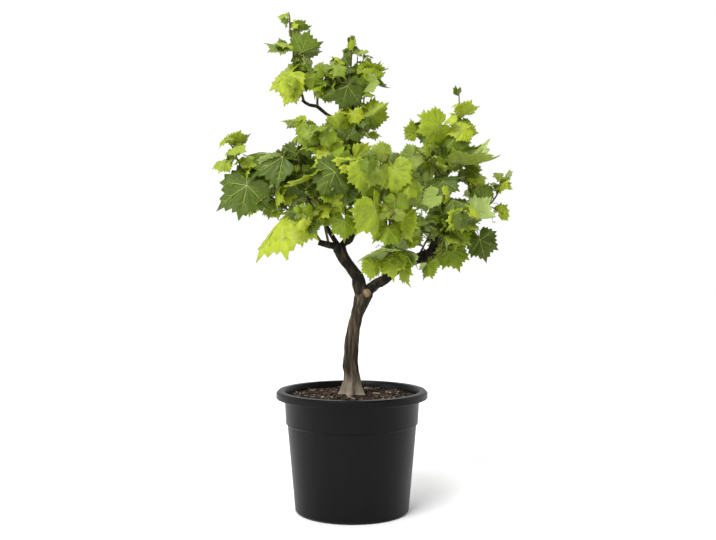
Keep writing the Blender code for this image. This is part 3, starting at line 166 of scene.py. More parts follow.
# One mass: its full leaf length, the middle and reach of its space, its stem, its twigs as the share
# along the stem where each starts and the places it runs through, and the leaves of its outline. Such a
# leaf has the x, y, z where its blade starts, its length, the way its tip points when seen from the front
# (0 right, 90 up) and how far the blade is turned about its midrib from facing the front.
Mass = namedtuple("Mass", "leaf middle reach stem twigs blades")
MASSES = {
    "leaves_far_left": Mass(0.05, (-0.19, 0.01, 0.66), (0.1, 0.11, 0.1), [
        (-0.06, 0, 0.5315), (-0.075, -0.002, 0.552), (-0.111, -0.008, 0.581), (-0.143, -0.012, 0.612),
        (-0.184, -0.012, 0.633), (-0.203, -0.006, 0.648), (-0.222, 0, 0.686), (-0.236, 0, 0.72),
        (-0.252, 0, 0.739),
    ], [
        (0.4, [(-0.15, -0.022, 0.65), (-0.132, -0.034, 0.705)]),
        (0.58, [(-0.196, 0.03, 0.668), (-0.2, 0.07, 0.7)]),
        (0.36, [(-0.15, 0.03, 0.62), (-0.165, 0.07, 0.64)]),
    ], [
        (-0.204, -0.03, 0.644, 0.086, -150, 15), (-0.133, -0.04, 0.698, 0.072, 152, 35),
        (-0.151, -0.035, 0.69, 0.042, -151, 150), (-0.226, 0, 0.729, 0.034, 20, 60),
        (-0.225, -0.01, 0.72, 0.034, -126, 50), (-0.251, 0, 0.691, 0.028, -172, 60),
        (-0.252, 0, 0.738, 0.022, -130, 70), (-0.148, -0.02, 0.637, 0.038, -108, 30),
    ]),
    "leaves_left": Mass(0.052, (-0.1, -0.05, 0.62), (0.09, 0.09, 0.11), [
        (-0.046, 0, 0.53), (-0.0535, -0.004, 0.565), (-0.0545, -0.01, 0.59), (-0.064, -0.022, 0.612),
        (-0.088, -0.034, 0.64), (-0.103, -0.042, 0.69),
    ], [
        (0.3, [(-0.075, -0.028, 0.58), (-0.118, -0.034, 0.592)]),
        (0.5, [(-0.06, -0.042, 0.645), (-0.058, -0.05, 0.672)]),
        (0.22, [(-0.08, -0.06, 0.575), (-0.1, -0.095, 0.6)]),
    ], [
        (-0.067, -0.05, 0.663, 0.085, -150, 205), (-0.136, -0.02, 0.58, 0.096, -131, 68),
        (-0.098, -0.04, 0.575, 0.056, -103, 0), (-0.11, -0.05, 0.706, 0.044, -105, 10),
    ]),
    "leaves_top_left": Mass(0.034, (-0.12, 0.01, 0.89), (0.07, 0.09, 0.11), [
        (-0.095, 0.003, 0.811), (-0.1043, 0, 0.846), (-0.1113, 0, 0.87), (-0.1154, 0, 0.892),
        (-0.1154, 0, 0.912), (-0.1182, 0, 0.936), (-0.1224, 0, 0.954), (-0.1224, 0, 0.975),
        (-0.125, 0, 0.986),
    ], [
        (0.06, [(-0.114, -0.01, 0.838), (-0.12, -0.014, 0.852)]),
        (0.36, [(-0.104, -0.006, 0.888), (-0.096, -0.01, 0.9)]),
        (0.3, [(-0.112, 0.03, 0.885), (-0.118, 0.05, 0.91)]),
    ], [
        (-0.122, -0.02, 0.862, 0.058, -163, 40), (-0.123, -0.02, 0.832, 0.038, -120, 25),
        (-0.123, 0, 0.977, 0.014, 103, 60), (-0.129, 0, 0.972, 0.015, 176, 75),
        (-0.104, 0, 0.952, 0.024, 2, 75), (-0.141, 0, 0.92, 0.035, 171, 78),
        (-0.134, -0.01, 0.917, 0.022, 112, 20), (-0.099, -0.01, 0.906, 0.047, 30, 50),
        (-0.092, -0.015, 0.883, 0.022, -156, 30),
    ]),
    "leaves_top_inner": Mass(0.036, (-0.045, 0.01, 0.86), (0.06, 0.08, 0.055), [
        (-0.0683, 0.005, 0.801), (-0.068, 0.002, 0.825), (-0.062, -0.004, 0.85), (-0.056, -0.008, 0.868),
    ], [
        (0.55, [(-0.045, -0.016, 0.862), (-0.036, -0.022, 0.88)]),
        (0.35, [(-0.045, 0.02, 0.845), (-0.03, 0.045, 0.865)]),
        (0.3, [(-0.04, -0.018, 0.838), (-0.02, -0.024, 0.846)]),
    ], [
        (-0.065, -0.015, 0.868, 0.026, 32, 40), (-0.037, -0.03, 0.874, 0.038, -62, -50),
        (-0.073, -0.02, 0.857, 0.034, -148, 30), (-0.008, -0.03, 0.837, 0.058, -149, 50),
    ]),
    "leaves_top_centre": Mass(0.036, (0.015, 0.01, 0.83), (0.065, 0.09, 0.11), [
        (0.0035, 0, 0.737), (0.0034, 0, 0.781), (0.0006, 0, 0.81), (0.002, 0, 0.832), (0, 0, 0.85),
        (-0.002, 0, 0.874), (-0.0008, 0, 0.909), (-0.0069, 0, 0.937),
    ], [
        (0.06, [
            (0.02, -0.002, 0.784), (0.0238, -0.003, 0.834), (0.0198, -0.002, 0.876), (0.0257, 0, 0.907),
        ]),
        (0.05, [(0.028, -0.004, 0.765), (0.04, -0.012, 0.778)]),
        (0.45, [(0.008, 0.006, 0.862), (0.0119, 0.008, 0.913)]),
        (0.16, [(0.014, 0.03, 0.8), (0.02, 0.055, 0.84)]),
        (0.12, [(-0.01, -0.016, 0.775), (-0.022, -0.026, 0.77)]),
    ], [
        (0.039, -0.02, 0.781, 0.044, 35, 30), (-0.026, -0.03, 0.754, 0.041, 84, 0),
        (0.008, -0.02, 0.756, 0.021, 93, 40), (0.04, 0, 0.741, 0.016, 0, 30),
        (0.003, -0.008, 0.915, 0.02, 55, 40), (-0.02, 0, 0.893, 0.026, 165, 68),
        (0.024, -0.01, 0.868, 0.03, 40, 30), (0.036, -0.008, 0.868, 0.036, -8, 35),
        (0.04, -0.012, 0.85, 0.034, 20, 25), (0.05, -0.006, 0.845, 0.026, -45, 40),
        (0.012, -0.012, 0.835, 0.028, 60, 20),
    ]),
    "leaves_upper_left": Mass(0.042, (-0.05, -0.07, 0.722), (0.085, 0.075, 0.065), [
        (-0.004, 0.002, 0.656), (-0.012, -0.012, 0.672), (-0.03, -0.034, 0.7), (-0.055, -0.046, 0.728),
        (-0.08, -0.044, 0.75), (-0.094, -0.036, 0.768),
    ], [
        (0.3, [(-0.016, -0.054, 0.705), (-0.008, -0.062, 0.73)]),
        (0.45, [(-0.048, -0.066, 0.728), (-0.05, -0.074, 0.742)]),
        (0.2, [(-0.012, -0.06, 0.68), (0.002, -0.09, 0.694)]),
        (0.35, [(-0.04, -0.066, 0.7), (-0.04, -0.078, 0.706)]),
        (0.6, [(-0.08, -0.06, 0.735), (-0.09, -0.066, 0.742)]),
    ], [
        (-0.108, -0.03, 0.772, 0.031, 184, 70), (-0.096, -0.04, 0.77, 0.019, 130, 20),
        (-0.092, -0.05, 0.761, 0.027, -136, 20), (-0.082, -0.07, 0.742, 0.036, -102, 10),
        (-0.049, -0.06, 0.74, 0.025, 115, 170), (-0.047, -0.09, 0.735, 0.03, -82, 0),
        (-0.004, -0.06, 0.732, 0.027, -26, 30), (-0.012, -0.06, 0.738, 0.022, 140, 30),
        (-0.07, -0.055, 0.752, 0.028, 95, 25), (-0.039, -0.08, 0.7, 0.044, -145, 30),
        (0, -0.1, 0.686, 0.044, -167, 60), (0.006, -0.08, 0.692, 0.049, -53, 20),
    ]),
    "leaves_centre": Mass(0.046, (-0.01, -0.08, 0.62), (0.065, 0.075, 0.075), [
        (0.006, 0.005, 0.619), (-0.006, -0.012, 0.628), (-0.02, -0.038, 0.648), (-0.034, -0.06, 0.672),
    ], [
        (0.18, [(-0.022, -0.018, 0.612), (-0.034, -0.026, 0.606)]),
        (0.3, [(-0.012, -0.048, 0.608), (-0.012, -0.064, 0.584)]),
        (0.45, [(0.004, -0.07, 0.645), (0.026, -0.094, 0.652)]),
        (0.45, [(-0.03, -0.075, 0.64), (-0.036, -0.11, 0.632)]),
    ], [
        (-0.051, -0.08, 0.669, 0.028, -113, 30), (-0.031, -0.06, 0.664, 0.056, -115, 15),
        (-0.008, -0.08, 0.63, 0.034, -105, 20), (0.037, -0.1, 0.643, 0.038, -125, 15),
        (-0.037, -0.03, 0.599, 0.03, -68, 10), (-0.014, -0.07, 0.573, 0.042, -87, 0),
    ]),
    "leaves_centre_right": Mass(0.05, (0.075, -0.085, 0.54), (0.08, 0.085, 0.1), [
        (0.095, -0.003, 0.4855), (0.09, -0.022, 0.508), (0.085, -0.042, 0.53), (0.076, -0.068, 0.56),
        (0.062, -0.092, 0.598),
    ], [
        (0.55, [(0.095, -0.074, 0.572), (0.118, -0.084, 0.592)]),
        (0.28, [(0.074, -0.05, 0.512), (0.06, -0.058, 0.5)]),
        (0.2, [(0.1, -0.038, 0.506), (0.098, -0.044, 0.494)]),
        (0.7, [(0.07, -0.12, 0.575), (0.082, -0.145, 0.59)]),
    ], [
        (0.07, -0.05, 0.516, 0.07, 179, 65), (0.044, -0.12, 0.593, 0.063, -79, 0),
        (0.041, -0.06, 0.489, 0.034, -97, 0), (0.078, -0.07, 0.501, 0.049, -88, 20),
        (0.098, -0.04, 0.484, 0.042, -82, 10), (0.097, -0.08, 0.576, 0.052, -81, 10),
        (0.13, -0.09, 0.58, 0.028, -120, 150),
    ]),
    "leaves_front": Mass(0.048, (0.062, -0.09, 0.65), (0.085, 0.085, 0.065), [
        (0.0175, 0.007, 0.6), (0.024, -0.012, 0.612), (0.038, -0.044, 0.636), (0.056, -0.08, 0.664),
        (0.068, -0.116, 0.69),
    ], [
        (0.35, [(0.062, -0.04, 0.65), (0.086, -0.048, 0.672)]),
        (0.6, [(0.082, -0.094, 0.655), (0.112, -0.11, 0.652)]),
        (0.75, [(0.04, -0.12, 0.682), (0.018, -0.14, 0.69)]),
    ], [
        (0.086, -0.06, 0.684, 0.036, -130, 160), (0.074, -0.05, 0.694, 0.028, 120, 30),
        (0.078, -0.11, 0.668, 0.052, -85, 10), (0.05, -0.12, 0.668, 0.044, -110, 20),
        (0.1, -0.1, 0.63, 0.05, -95, 10), (0.06, -0.11, 0.7, 0.03, 150, 40),
        (0.02, -0.11, 0.664, 0.04, -95, 10),
    ]),
    "leaves_right_top": Mass(0.046, (0.17, -0.01, 0.735), (0.085, 0.11, 0.075), [
        (0.1735, -0.003, 0.58), (0.18, 0, 0.612), (0.186, 0, 0.645), (0.19, 0, 0.67), (0.2, 0, 0.705),
        (0.21, 0, 0.74), (0.2138, 0, 0.769), (0.212, 0, 0.8), (0.211, 0, 0.834),
    ], [
        (0.1, [(0.166, -0.01, 0.64), (0.16, -0.022, 0.7), (0.15, -0.03, 0.738), (0.138, -0.03, 0.764)]),
        (0.36, [(0.188, -0.034, 0.705), (0.188, -0.052, 0.742)]),
        (0.28, [(0.158, -0.052, 0.68), (0.13, -0.06, 0.706)]),
        (0.38, [(0.18, 0.036, 0.71), (0.16, 0.066, 0.74)]),
        (0.44, [(0.212, 0.04, 0.725), (0.215, 0.065, 0.745)]),
    ], [
        (0.124, -0.03, 0.746, 0.031, 105, 30), (0.145, -0.03, 0.776, 0.019, 99, 20),
        (0.166, -0.07, 0.756, 0.051, -157, 10), (0.189, -0.06, 0.773, 0.024, -144, 20),
        (0.215, -0.05, 0.749, 0.036, -170, 25), (0.219, -0.01, 0.785, 0.039, 4, 70),
        (0.225, -0.02, 0.746, 0.024, -10, 40), (0.208, 0, 0.785, 0.017, 166, 40),
        (0.209, 0, 0.806, 0.017, -163, 70), (0.209, 0, 0.83, 0.015, 105, 60),
        (0.211, 0, 0.828, 0.013, 39, 60), (0.201, -0.06, 0.736, 0.04, -122, 10),
        (0.171, -0.08, 0.704, 0.05, -168, 50), (0.117, -0.06, 0.699, 0.035, -132, 160),
    ]),
    "leaves_right_outer": Mass(0.046, (0.25, 0.02, 0.655), (0.07, 0.1, 0.075), [
        (0.2, 0.003, 0.5465), (0.225, 0.002, 0.572), (0.25, 0, 0.596), (0.275, 0, 0.611),
        (0.29, 0, 0.632), (0.303, 0, 0.648), (0.31, 0, 0.662),
    ], [
        (0.28, [(0.236, -0.004, 0.62), (0.226, -0.014, 0.665), (0.224, -0.018, 0.694)]),
        (0.5, [(0.278, 0.004, 0.602), (0.294, 0.002, 0.594)]),
        (0.35, [(0.24, 0.04, 0.625), (0.235, 0.075, 0.66)]),
    ], [
        (0.229, -0.01, 0.706, 0.041, 10, 50), (0.215, -0.05, 0.683, 0.07, -6, 140),
        (0.229, -0.02, 0.677, 0.041, -32, 40), (0.252, -0.03, 0.617, 0.038, 63, 15),
        (0.293, 0, 0.644, 0.016, 158, 60), (0.299, 0, 0.648, 0.018, 13, 60),
        (0.301, 0, 0.642, 0.019, -24, 60), (0.293, 0, 0.594, 0.02, 60, 40),
        (0.299, 0, 0.592, 0.018, 13, 30), (0.299, 0, 0.588, 0.017, -62, 30),
    ]),
    "leaves_right_low": Mass(0.05, (0.195, -0.075, 0.57), (0.085, 0.085, 0.11), [
        (0.166, -0.002, 0.525), (0.172, -0.028, 0.54), (0.18, -0.052, 0.566), (0.186, -0.07, 0.596),
        (0.182, -0.076, 0.634),
    ], [
        (0.45, [(0.215, -0.052, 0.578), (0.24, -0.048, 0.572)]),
        (0.22, [(0.178, -0.046, 0.532), (0.176, -0.044, 0.512)]),
        (0.62, [(0.168, -0.086, 0.602), (0.156, -0.094, 0.622)]),
        (0.5, [(0.2, -0.09, 0.58), (0.21, -0.13, 0.59)]),
    ], [
        (0.175, -0.07, 0.649, 0.046, -142, 10), (0.155, -0.1, 0.618, 0.033, -140, 160),
        (0.216, -0.08, 0.595, 0.053, -163, 15), (0.19, -0.09, 0.573, 0.03, -134, 150),
        (0.207, -0.06, 0.572, 0.028, -60, 20), (0.196, -0.05, 0.553, 0.027, -65, 20),
        (0.233, -0.02, 0.592, 0.034, 17, 30), (0.234, -0.06, 0.582, 0.058, -19, 165),
        (0.247, -0.05, 0.538, 0.048, -74, 10), (0.194, -0.04, 0.519, 0.05, -70, 10),
        (0.167, -0.03, 0.502, 0.019, -58, 20), (0.149, -0.04, 0.49, 0.037, -123, 15),
    ]),
    "leaves_back_left": Mass(0.056, (-0.095, 0.125, 0.66), (0.12, 0.1, 0.12), [
        (-0.068, 0.07, 0.589), (-0.088, 0.094, 0.618), (-0.104, 0.116, 0.655), (-0.116, 0.132, 0.7),
        (-0.112, 0.136, 0.748),
    ], [
        (0.25, [(-0.064, 0.12, 0.632), (-0.036, 0.15, 0.65)]),
        (0.4, [(-0.14, 0.11, 0.655), (-0.176, 0.112, 0.672)]),
        (0.45, [(-0.094, 0.16, 0.66), (-0.078, 0.192, 0.68)]),
        (0.7, [(-0.08, 0.14, 0.712), (-0.048, 0.146, 0.736)]),
        (0.12, [(-0.092, 0.1, 0.588), (-0.112, 0.122, 0.574)]),
    ], []),
    "leaves_back_right": Mass(0.056, (0.115, 0.13, 0.665), (0.11, 0.1, 0.1), [
        (0.067, 0.083, 0.644), (0.09, 0.11, 0.666), (0.112, 0.126, 0.694), (0.134, 0.134, 0.724),
    ], [
        (0.3, [(0.072, 0.146, 0.672), (0.056, 0.18, 0.684)]),
        (0.35, [(0.12, 0.11, 0.646), (0.156, 0.112, 0.64)]),
        (0.6, [(0.13, 0.16, 0.676), (0.15, 0.186, 0.672)]),
        (0.2, [(0.076, 0.11, 0.622), (0.074, 0.14, 0.598)]),
        (0.7, [(0.158, 0.118, 0.704), (0.19, 0.11, 0.712)]),
    ], []),
    "leaves_back_low": Mass(0.052, (0.155, 0.1, 0.545), (0.12, 0.1, 0.08), [
        (0.1307, -0.003, 0.501), (0.138, 0.024, 0.514), (0.15, 0.056, 0.534), (0.166, 0.088, 0.556),
        (0.186, 0.116, 0.576),
    ], [
        (0.35, [(0.118, 0.062, 0.534), (0.092, 0.086, 0.544)]),
        (0.5, [(0.19, 0.06, 0.544), (0.222, 0.066, 0.552)]),
        (0.7, [(0.146, 0.12, 0.556), (0.124, 0.15, 0.562)]),
        (0.3, [(0.16, 0.046, 0.508), (0.176, 0.062, 0.496)]),
    ], []),
    "leaves_back_high": Mass(0.046, (-0.008, 0.08, 0.745), (0.08, 0.075, 0.085), [
        (-0.0059, 0, 0.6855), (-0.006, 0.022, 0.702), (-0.004, 0.05, 0.728), (-0.002, 0.076, 0.76),
        (-0.006, 0.09, 0.795),
    ], [
        (0.4, [(-0.028, 0.07, 0.73), (-0.058, 0.084, 0.748)]),
        (0.55, [(0.016, 0.09, 0.748), (0.034, 0.112, 0.77)]),
        (0.25, [(0.02, 0.044, 0.7), (0.046, 0.062, 0.702)]),
    ], []),
}

# How leaves stand along the wood: the step between nodes, where the first stands in its step and the last
# along the wood, their size as a share of the mass's own, its spread, the swing round the wood in radians,
# the lean ahead and up, how many lengths out, the droop in degrees, the roll, and whether sides alternate
Habit = namedtuple("Habit", "step first last size sizes swing ahead rise offset droop roll alternate")
MAIN_HABIT = Habit(
    step=0.031, first=0.8, last=0.97, size=1.0, sizes=(0.85, 1.2), swing=(-0.9, 0.9), ahead=0.45,
    rise=(0.0, 0.5), offset=(0.45, 0.95), droop=(5, 75), roll=0.45, alternate=True,
)
FINE_HABIT = Habit(
    step=0.009, first=0.4, last=0.96, size=0.62, sizes=(0.7, 1.3), swing=(0, 2 * math.pi), ahead=0.5,
    rise=(0.0, 0.6), offset=(0.5, 1.0), droop=(-10, 65), roll=0.5, alternate=False,
)
TIP_SHARE = 0.45
TURN_SPREAD = 0.5
FACE_OUTWARD = 0.8
FACE_FRONT = 0.4
TRIES = 10
SIDESTEP = 0.006
LEAN = (-0.25, 0.05)

# What counts as touching, as inside the outline and as room for a leaf stalk
SPACING = 0.0006
LIMB_CLEARANCE = 0.001
OUTLINE_MIDDLE = 0.45
OUTLINE_REACH = 0.62
OUTLINE_MARGIN = 0.010
NODE_GAP = 0.0030
NODE_SHARES = (0.0, 0.35, 0.7)
BACKWARD_COST = 1.5
STRAIGHT_PETIOLE = 0.032
LONGEST_PETIOLE = 0.060
SHORTEST_BEND = 0.006
BEND_SHARE = 0.3
LEAST_AHEAD = 0.4
MOST_ASIDE = 0.6
LEAST_ABOVE = -0.3
ARRIVAL_AHEAD = 0.5
ARRIVAL_ASIDE = 0.3

# Wood of the crown
STEM_RADIUS = 0.0026
TWIG_RADIUS = 0.0017
TIP_RADIUS = 0.0010
PETIOLE_RADIUS = 0.0009
LONG_PETIOLE_RADIUS = 0.8 * TWIG_RADIUS

# A leaf's room, seen flat, as shares of its length: along the midrib and across it, one side. A blade
# shorter than SMALL_LEAF, in metres, has the small outline.
HALF_OUTLINE = [(-0.14, 0.30), (0.36, 0.60)]
SMALL_HALF_OUTLINE = [(0.22, 0.50)]
SMALL_LEAF = 0.027
MIDDLE = 0.40
THICKNESS = 0.028
SIDE_DROP = 0.16
TIP_DROP = 0.14

UP = Vector((0, 0, 1))
FRONT = Vector((0, -1, 0))


def between(p, q, r, s, t):
    """The value of a Catmull-Rom curve this share of the way from q to r."""
    parabola = 2 * q + (r - p) * t + (2 * p - 5 * q + 4 * r - s) * t**2
    return 0.5 * (parabola + (3 * q - p - 3 * r + s) * t**3)


def smooth(points, steps):
    """The points of a curve through these ones. A point has any number of coordinates."""
    ends = [points[0], *points, points[-1]]
    curve = []
    for near in zip(ends, ends[1:], ends[2:], ends[3:]):
        for step in range(steps):
            curve.append(tuple(between(*four, step / steps) for four in zip(*near)))
    curve.append(tuple(points[-1]))
    return curve


def tapered(places, first, last):
    """Places with a radius that falls evenly from first to last."""
    count = len(places) - 1
    return [(*place, first + (last - first) * i / count) for i, place in enumerate(places)]


def point_at(path, share):
    """The place and the direction at this share along a path."""
    places = [Vector(p[:3]) for p in path]
    lengths = [(b - a).length for a, b in zip(places, places[1:])]
    left = share * sum(lengths)
    for a, b, length in zip(places, places[1:], lengths):
        if left <= length:
            break
        left -= length
    return a.lerp(b, min(left / length, 1.0)), (b - a).normalized()


def turned_about(axis, angle):
    """A direction across this axis, turned about it."""
    across = axis.orthogonal().normalized()
    across.rotate(Matrix.Rotation(angle, 3, axis))
    return across


def round_points(sides):
    """The angles of the points round a circle."""
    return [2 * math.pi * k / sides for k in range(sides)]


def rings(path, sides, swell=0.0):
    """Rings of points round a path, kept from twisting."""
    places = [Vector(p[:3]) for p in path]
    across = None
    made = []
    for i, place in enumerate(places):
        ahead = places[min(i + 1, len(places) - 1)] - places[max(i - 1, 0)]
        ahead.normalize()
        across = across or ahead.orthogonal()
        across = across - ahead * across.dot(ahead)
        across.normalize()
        beside = ahead.cross(across)
        radius = path[i][3] + swell
        made.append([
            place + radius * (math.cos(angle) * across + math.sin(angle) * beside)
            for angle in round_points(sides)
        ])
    return made


def skinned(loops):
    """The points and faces of a closed body through rings of points."""
    sides = len(loops[0])
    points = [point for loop in loops for point in loop]
    faces = [tuple(reversed(range(sides))), tuple(range(len(points) - sides, len(points)))]
    for near in range(0, len(points) - sides, sides):
        far = near + sides
        for k in range(sides):
            after = (k + 1) % sides
            faces.append((near + k, near + after, far + after, far + k))
    return points, faces


def tube_shape(path, sides=3, swell=0.0):
    """Points and faces of a closed tube along a path."""
    return skinned(rings(path, sides, swell))


def blade_frame(root, ahead, normal, length):
    """The matrix that lays a flat unit leaf at its place: X along the midrib, Z out of the upper side."""
    ahead = ahead.normalized()
    normal = (normal - ahead * normal.dot(ahead)).normalized()
    side = normal.cross(ahead)
    turn = Matrix((ahead, side, normal)).transposed().to_4x4()
    return Matrix.Translation(root) @ turn @ Matrix.Scale(length, 4)


def blade_shape(lay):
    """Points and faces of a leaf's room: a low roof over and under its outline, from its stalk round."""
    half = SMALL_HALF_OUTLINE if lay.to_scale().x < SMALL_LEAF else HALF_OUTLINE
    flat = [Vector((x, -y, -SIDE_DROP * y)) for x, y in half]
    flat += [Vector((1, 0, -TIP_DROP))]
    flat += [Vector((x, y, -SIDE_DROP * y)) for x, y in reversed(half)]
    flat += [Vector((MIDDLE, 0, 0.5 * THICKNESS)), Vector((MIDDLE, 0, -0.5 * THICKNESS))]
    over = len(flat) - 1
    faces = []
    for i in range(over):
        after = (i + 1) % over
        faces += [(over, i, after), (over + 1, after, i)]
    return [lay.to_translation()] + [lay @ point for point in flat], faces


def seen_at(x, y, z):
    """Where a place shows on the plane of the trunk, seen by the eye of the growth plan."""
    scale = EYE_BACK / (EYE_BACK + y)
    return x * scale, EYE_HEIGHT + (z - EYE_HEIGHT) * scale


def crosses(places, blade):
    """True if a stalk through these places would cut through its own blade."""
    stalk = BVHTree.FromPolygons(*tube_shape(tapered(places, PETIOLE_RADIUS, PETIOLE_RADIUS)))
    return bool(stalk.overlap(BVHTree.FromPolygons(*blade)))


def in_space(plan, points):
    """True if the points lie in the mass's own rounded space."""
    return all(
        sum(((p - m) / r) ** 2 for p, m, r in zip(point, plan.middle, plan.reach)) < 1
        for point in points
    )


Leaf = namedtuple("Leaf", "lay length petiole")


class Crown:
    """The stems, twigs and leaves of every mass, each kept clear of what already grows."""

    def __init__(self):
        self.taken = []
        self.wood = {mass: [] for mass in MASSES}
        self.leaves = {mass: [] for mass in MASSES}
        self.discs = []
        self.nodes = []

    def take(self, points, faces, owner, kind):
        self.taken.append((BVHTree.FromPolygons(points, faces, epsilon=SPACING), owner, kind))

    def meets(self, points, faces, mass, ignored=()):
        """True if the shape touches anything but its own mass's pieces of the ignored kinds."""
        tree = BVHTree.FromPolygons(points, faces, epsilon=SPACING)
        return any(
            tree.overlap(other)
            for other, owner, kind in self.taken
            if not (owner == mass and kind in ignored)
        )

    def add_wood(self, mass, path):
        self.wood[mass].append(path)
        self.take(*tube_shape(path), mass, "wood")

    def seen_open(self, points):
        """True if these points, seen from the front, lie in the crown's outline and off its sky."""
        for point in points:
            x, z = seen_at(*point)
            if any(math.hypot(x - sx, z - sz) < radius for sx, sz, radius in SKY):
                return False
            if not any(math.hypot(x - cx, z - cz) < radius for cx, cz, radius in self.discs):
                return False
        return True

    def free_node(self, place):
        return all((place - node).length > NODE_GAP for node in self.nodes)

    def nearest_wood(self, mass, root, ahead):
        """The free point of the mass's wood that a petiole to this leaf would best leave from."""
        best = None
        for path in self.wood[mass]:
            for near, far in zip(path[1:], path[2:]):
                for share in NODE_SHARES:
                    place = Vector(near[:3]).lerp(Vector(far[:3]), share)
                    to_root = root - place
                    away = max(0.0, -to_root.normalized().dot(ahead))
                    cost = to_root.length * (1 + BACKWARD_COST * away)
                    if (best is None or cost < best[0]) and self.free_node(place):
                        best = (cost, place)
        return best[1]

    def add_leaf(self, mass, start, root, ahead, normal, length):
        """Adds a blade with its petiole, and says whether there was room for it."""
        lay = blade_frame(root, ahead, normal, length)
        blade = blade_shape(lay)
        if not self.free_node(start) or self.meets(*blade, mass):
            return False
        run = (root - start).length
        x, y, z = lay.to_3x3().inverted() @ (root - start) * length / run
        aside = abs(y) > MOST_ASIDE * max(x, z)
        places = [start, root]
        if x < LEAST_AHEAD or aside or z < LEAST_ABOVE or run > STRAIGHT_PETIOLE:
            arrival = lay.to_3x3() @ Vector((max(x, ARRIVAL_AHEAD), ARRIVAL_ASIDE * y, max(z, 0.0)))
            places.insert(1, root - arrival.normalized() * max(SHORTEST_BEND, BEND_SHARE * run))
            if crosses(places[:2], blade):
                return False
        thick = LONG_PETIOLE_RADIUS if run > LONGEST_PETIOLE else PETIOLE_RADIUS
        petiole = tapered(places, thick, PETIOLE_RADIUS)
        if self.meets(*tube_shape(petiole), mass, ignored=("wood", "petiole")):
            return False
        self.take(*blade, mass, "blade")
        self.take(*tube_shape(petiole), mass, "petiole")
        self.nodes.append(start)
        self.leaves[mass].append(Leaf(lay, length, petiole))
        return True


def grow_wood(crown, mass):
    """The stem of one mass and its twigs."""
    plan = MASSES[mass]
    stem = smooth(tapered(plan.stem, STEM_RADIUS, TIP_RADIUS), 2)
    crown.add_wood(mass, stem)
    for share, places in plan.twigs:
        start, _ = point_at(stem, share)
        crown.add_wood(mass, smooth(tapered([start, *places], TWIG_RADIUS, TIP_RADIUS), 2))


def grow_planned_leaves(crown, mass, draw):
    """The leaves of the outline, each moved a little in depth where something is in its way."""
    for x, y, z, length, points, turn in MASSES[mass].blades:
        heading = math.radians(points)
        ahead = Vector((math.cos(heading), 0, math.sin(heading)))
        normal = Matrix.Rotation(math.radians(turn), 3, ahead) @ FRONT
        for attempt in range(TRIES):
            root = Vector((x, y + SIDESTEP * attempt * (-1) ** attempt, z))
            lean = Vector((0, draw.uniform(*LEAN), 0))
            start = crown.nearest_wood(mass, root, ahead)
            if crown.add_leaf(mass, start, root, ahead + lean, normal, length):
                break


def try_leaf(crown, mass, start, ahead, size, turn, habit, draw):
    """Tries one leaf beside the wood, turned this much round it, and says whether it had room."""
    across = turned_about(ahead, turn)
    reach = (across + habit.ahead * ahead + draw.uniform(*habit.rise) * UP).normalized()
    root = start + reach * size * draw.uniform(*habit.offset)
    droop = math.radians(draw.uniform(*habit.droop))
    flat = Vector((reach.x, reach.y, 0)).normalized()
    tip = flat * math.cos(droop) - UP * math.sin(droop)
    outward = Vector((root.x, root.y, 0)).normalized()
    normal = UP + FACE_OUTWARD * outward + FACE_FRONT * FRONT
    normal.rotate(Matrix.Rotation(draw.gauss(0, habit.roll), 3, tip))
    points, _ = blade_shape(blade_frame(root, tip, normal, size))
    if not in_space(MASSES[mass], points) or not crown.seen_open(points):
        return False
    return crown.add_leaf(mass, start, root, tip, normal, size)


def grow_ruled_leaves(crown, mass, habit, draw):
    """Leaves at every node along the wood, smaller towards each tip."""
    for path in list(crown.wood[mass]):
        length = sum((Vector(b[:3]) - Vector(a[:3])).length for a, b in zip(path, path[1:]))
        nodes = max(2, int(length / habit.step))
        turn = draw.uniform(0, 2 * math.pi) if habit.alternate else 0.0
        for node in range(nodes):
            share = (node + habit.first) / nodes
            start, ahead = point_at(path, min(share, habit.last))
            if habit.alternate:
                turn += math.pi + draw.uniform(-TURN_SPREAD, TURN_SPREAD)
            full = MASSES[mass].leaf * habit.size * (1 - TIP_SHARE * share)
            for _ in range(TRIES):
                size = full * draw.uniform(*habit.sizes)
                way = turn + draw.uniform(*habit.swing)
                if try_leaf(crown, mass, start, ahead, size, way, habit, draw):
                    break


def grow_crown():
    """Every mass as the plan has it: first all the wood, then the leaves of the outline, then the rest."""
    draw = random.Random(20)
    crown = Crown()
    crown.take(*tube_shape(smooth(TRUNK, 2), 8, LIMB_CLEARANCE), "trunk", "limb")
    for name, points in LIMBS.items():
        crown.take(*tube_shape(smooth(points, 2), 6, LIMB_CLEARANCE), name, "limb")
    for plan in MASSES.values():
        for x, y, z, length, points, _ in plan.blades:
            heading = math.radians(points)
            middle_x = x + OUTLINE_MIDDLE * length * math.cos(heading)
            middle_z = z + OUTLINE_MIDDLE * length * math.sin(heading)
            crown.discs.append((*seen_at(middle_x, y, middle_z), OUTLINE_REACH * length + OUTLINE_MARGIN))
    for mass in MASSES:
        grow_wood(crown, mass)
    for mass in MASSES:
        grow_planned_leaves(crown, mass, draw)
    for mass in MASSES:
        grow_ruled_leaves(crown, mass, MAIN_HABIT, draw)
    return crown


# The leaf seen close: lobe tips and the notches between them, as degrees from the midrib and reach
LOBES = [
    (0, 1.0), (28, 0.74), (47, 0.88), (77, 0.68), (105, 0.76), (138, 0.62), (160, 0.54), (180, 0.12),
]
LEAST_REACH = 0.05
TOOTH_DEPTH = 0.14
TOOTHED_FROM = 0.8
SHAPES = 8
SHEET = 0.010

# How finely large and small blades are made: points round the edge, and rings as shares of the reach
LEAF_GRIDS = {"large": (48, (0.30, 0.60, 0.84, 1.0)), "small": (32, (0.4, 0.75, 1.0))}

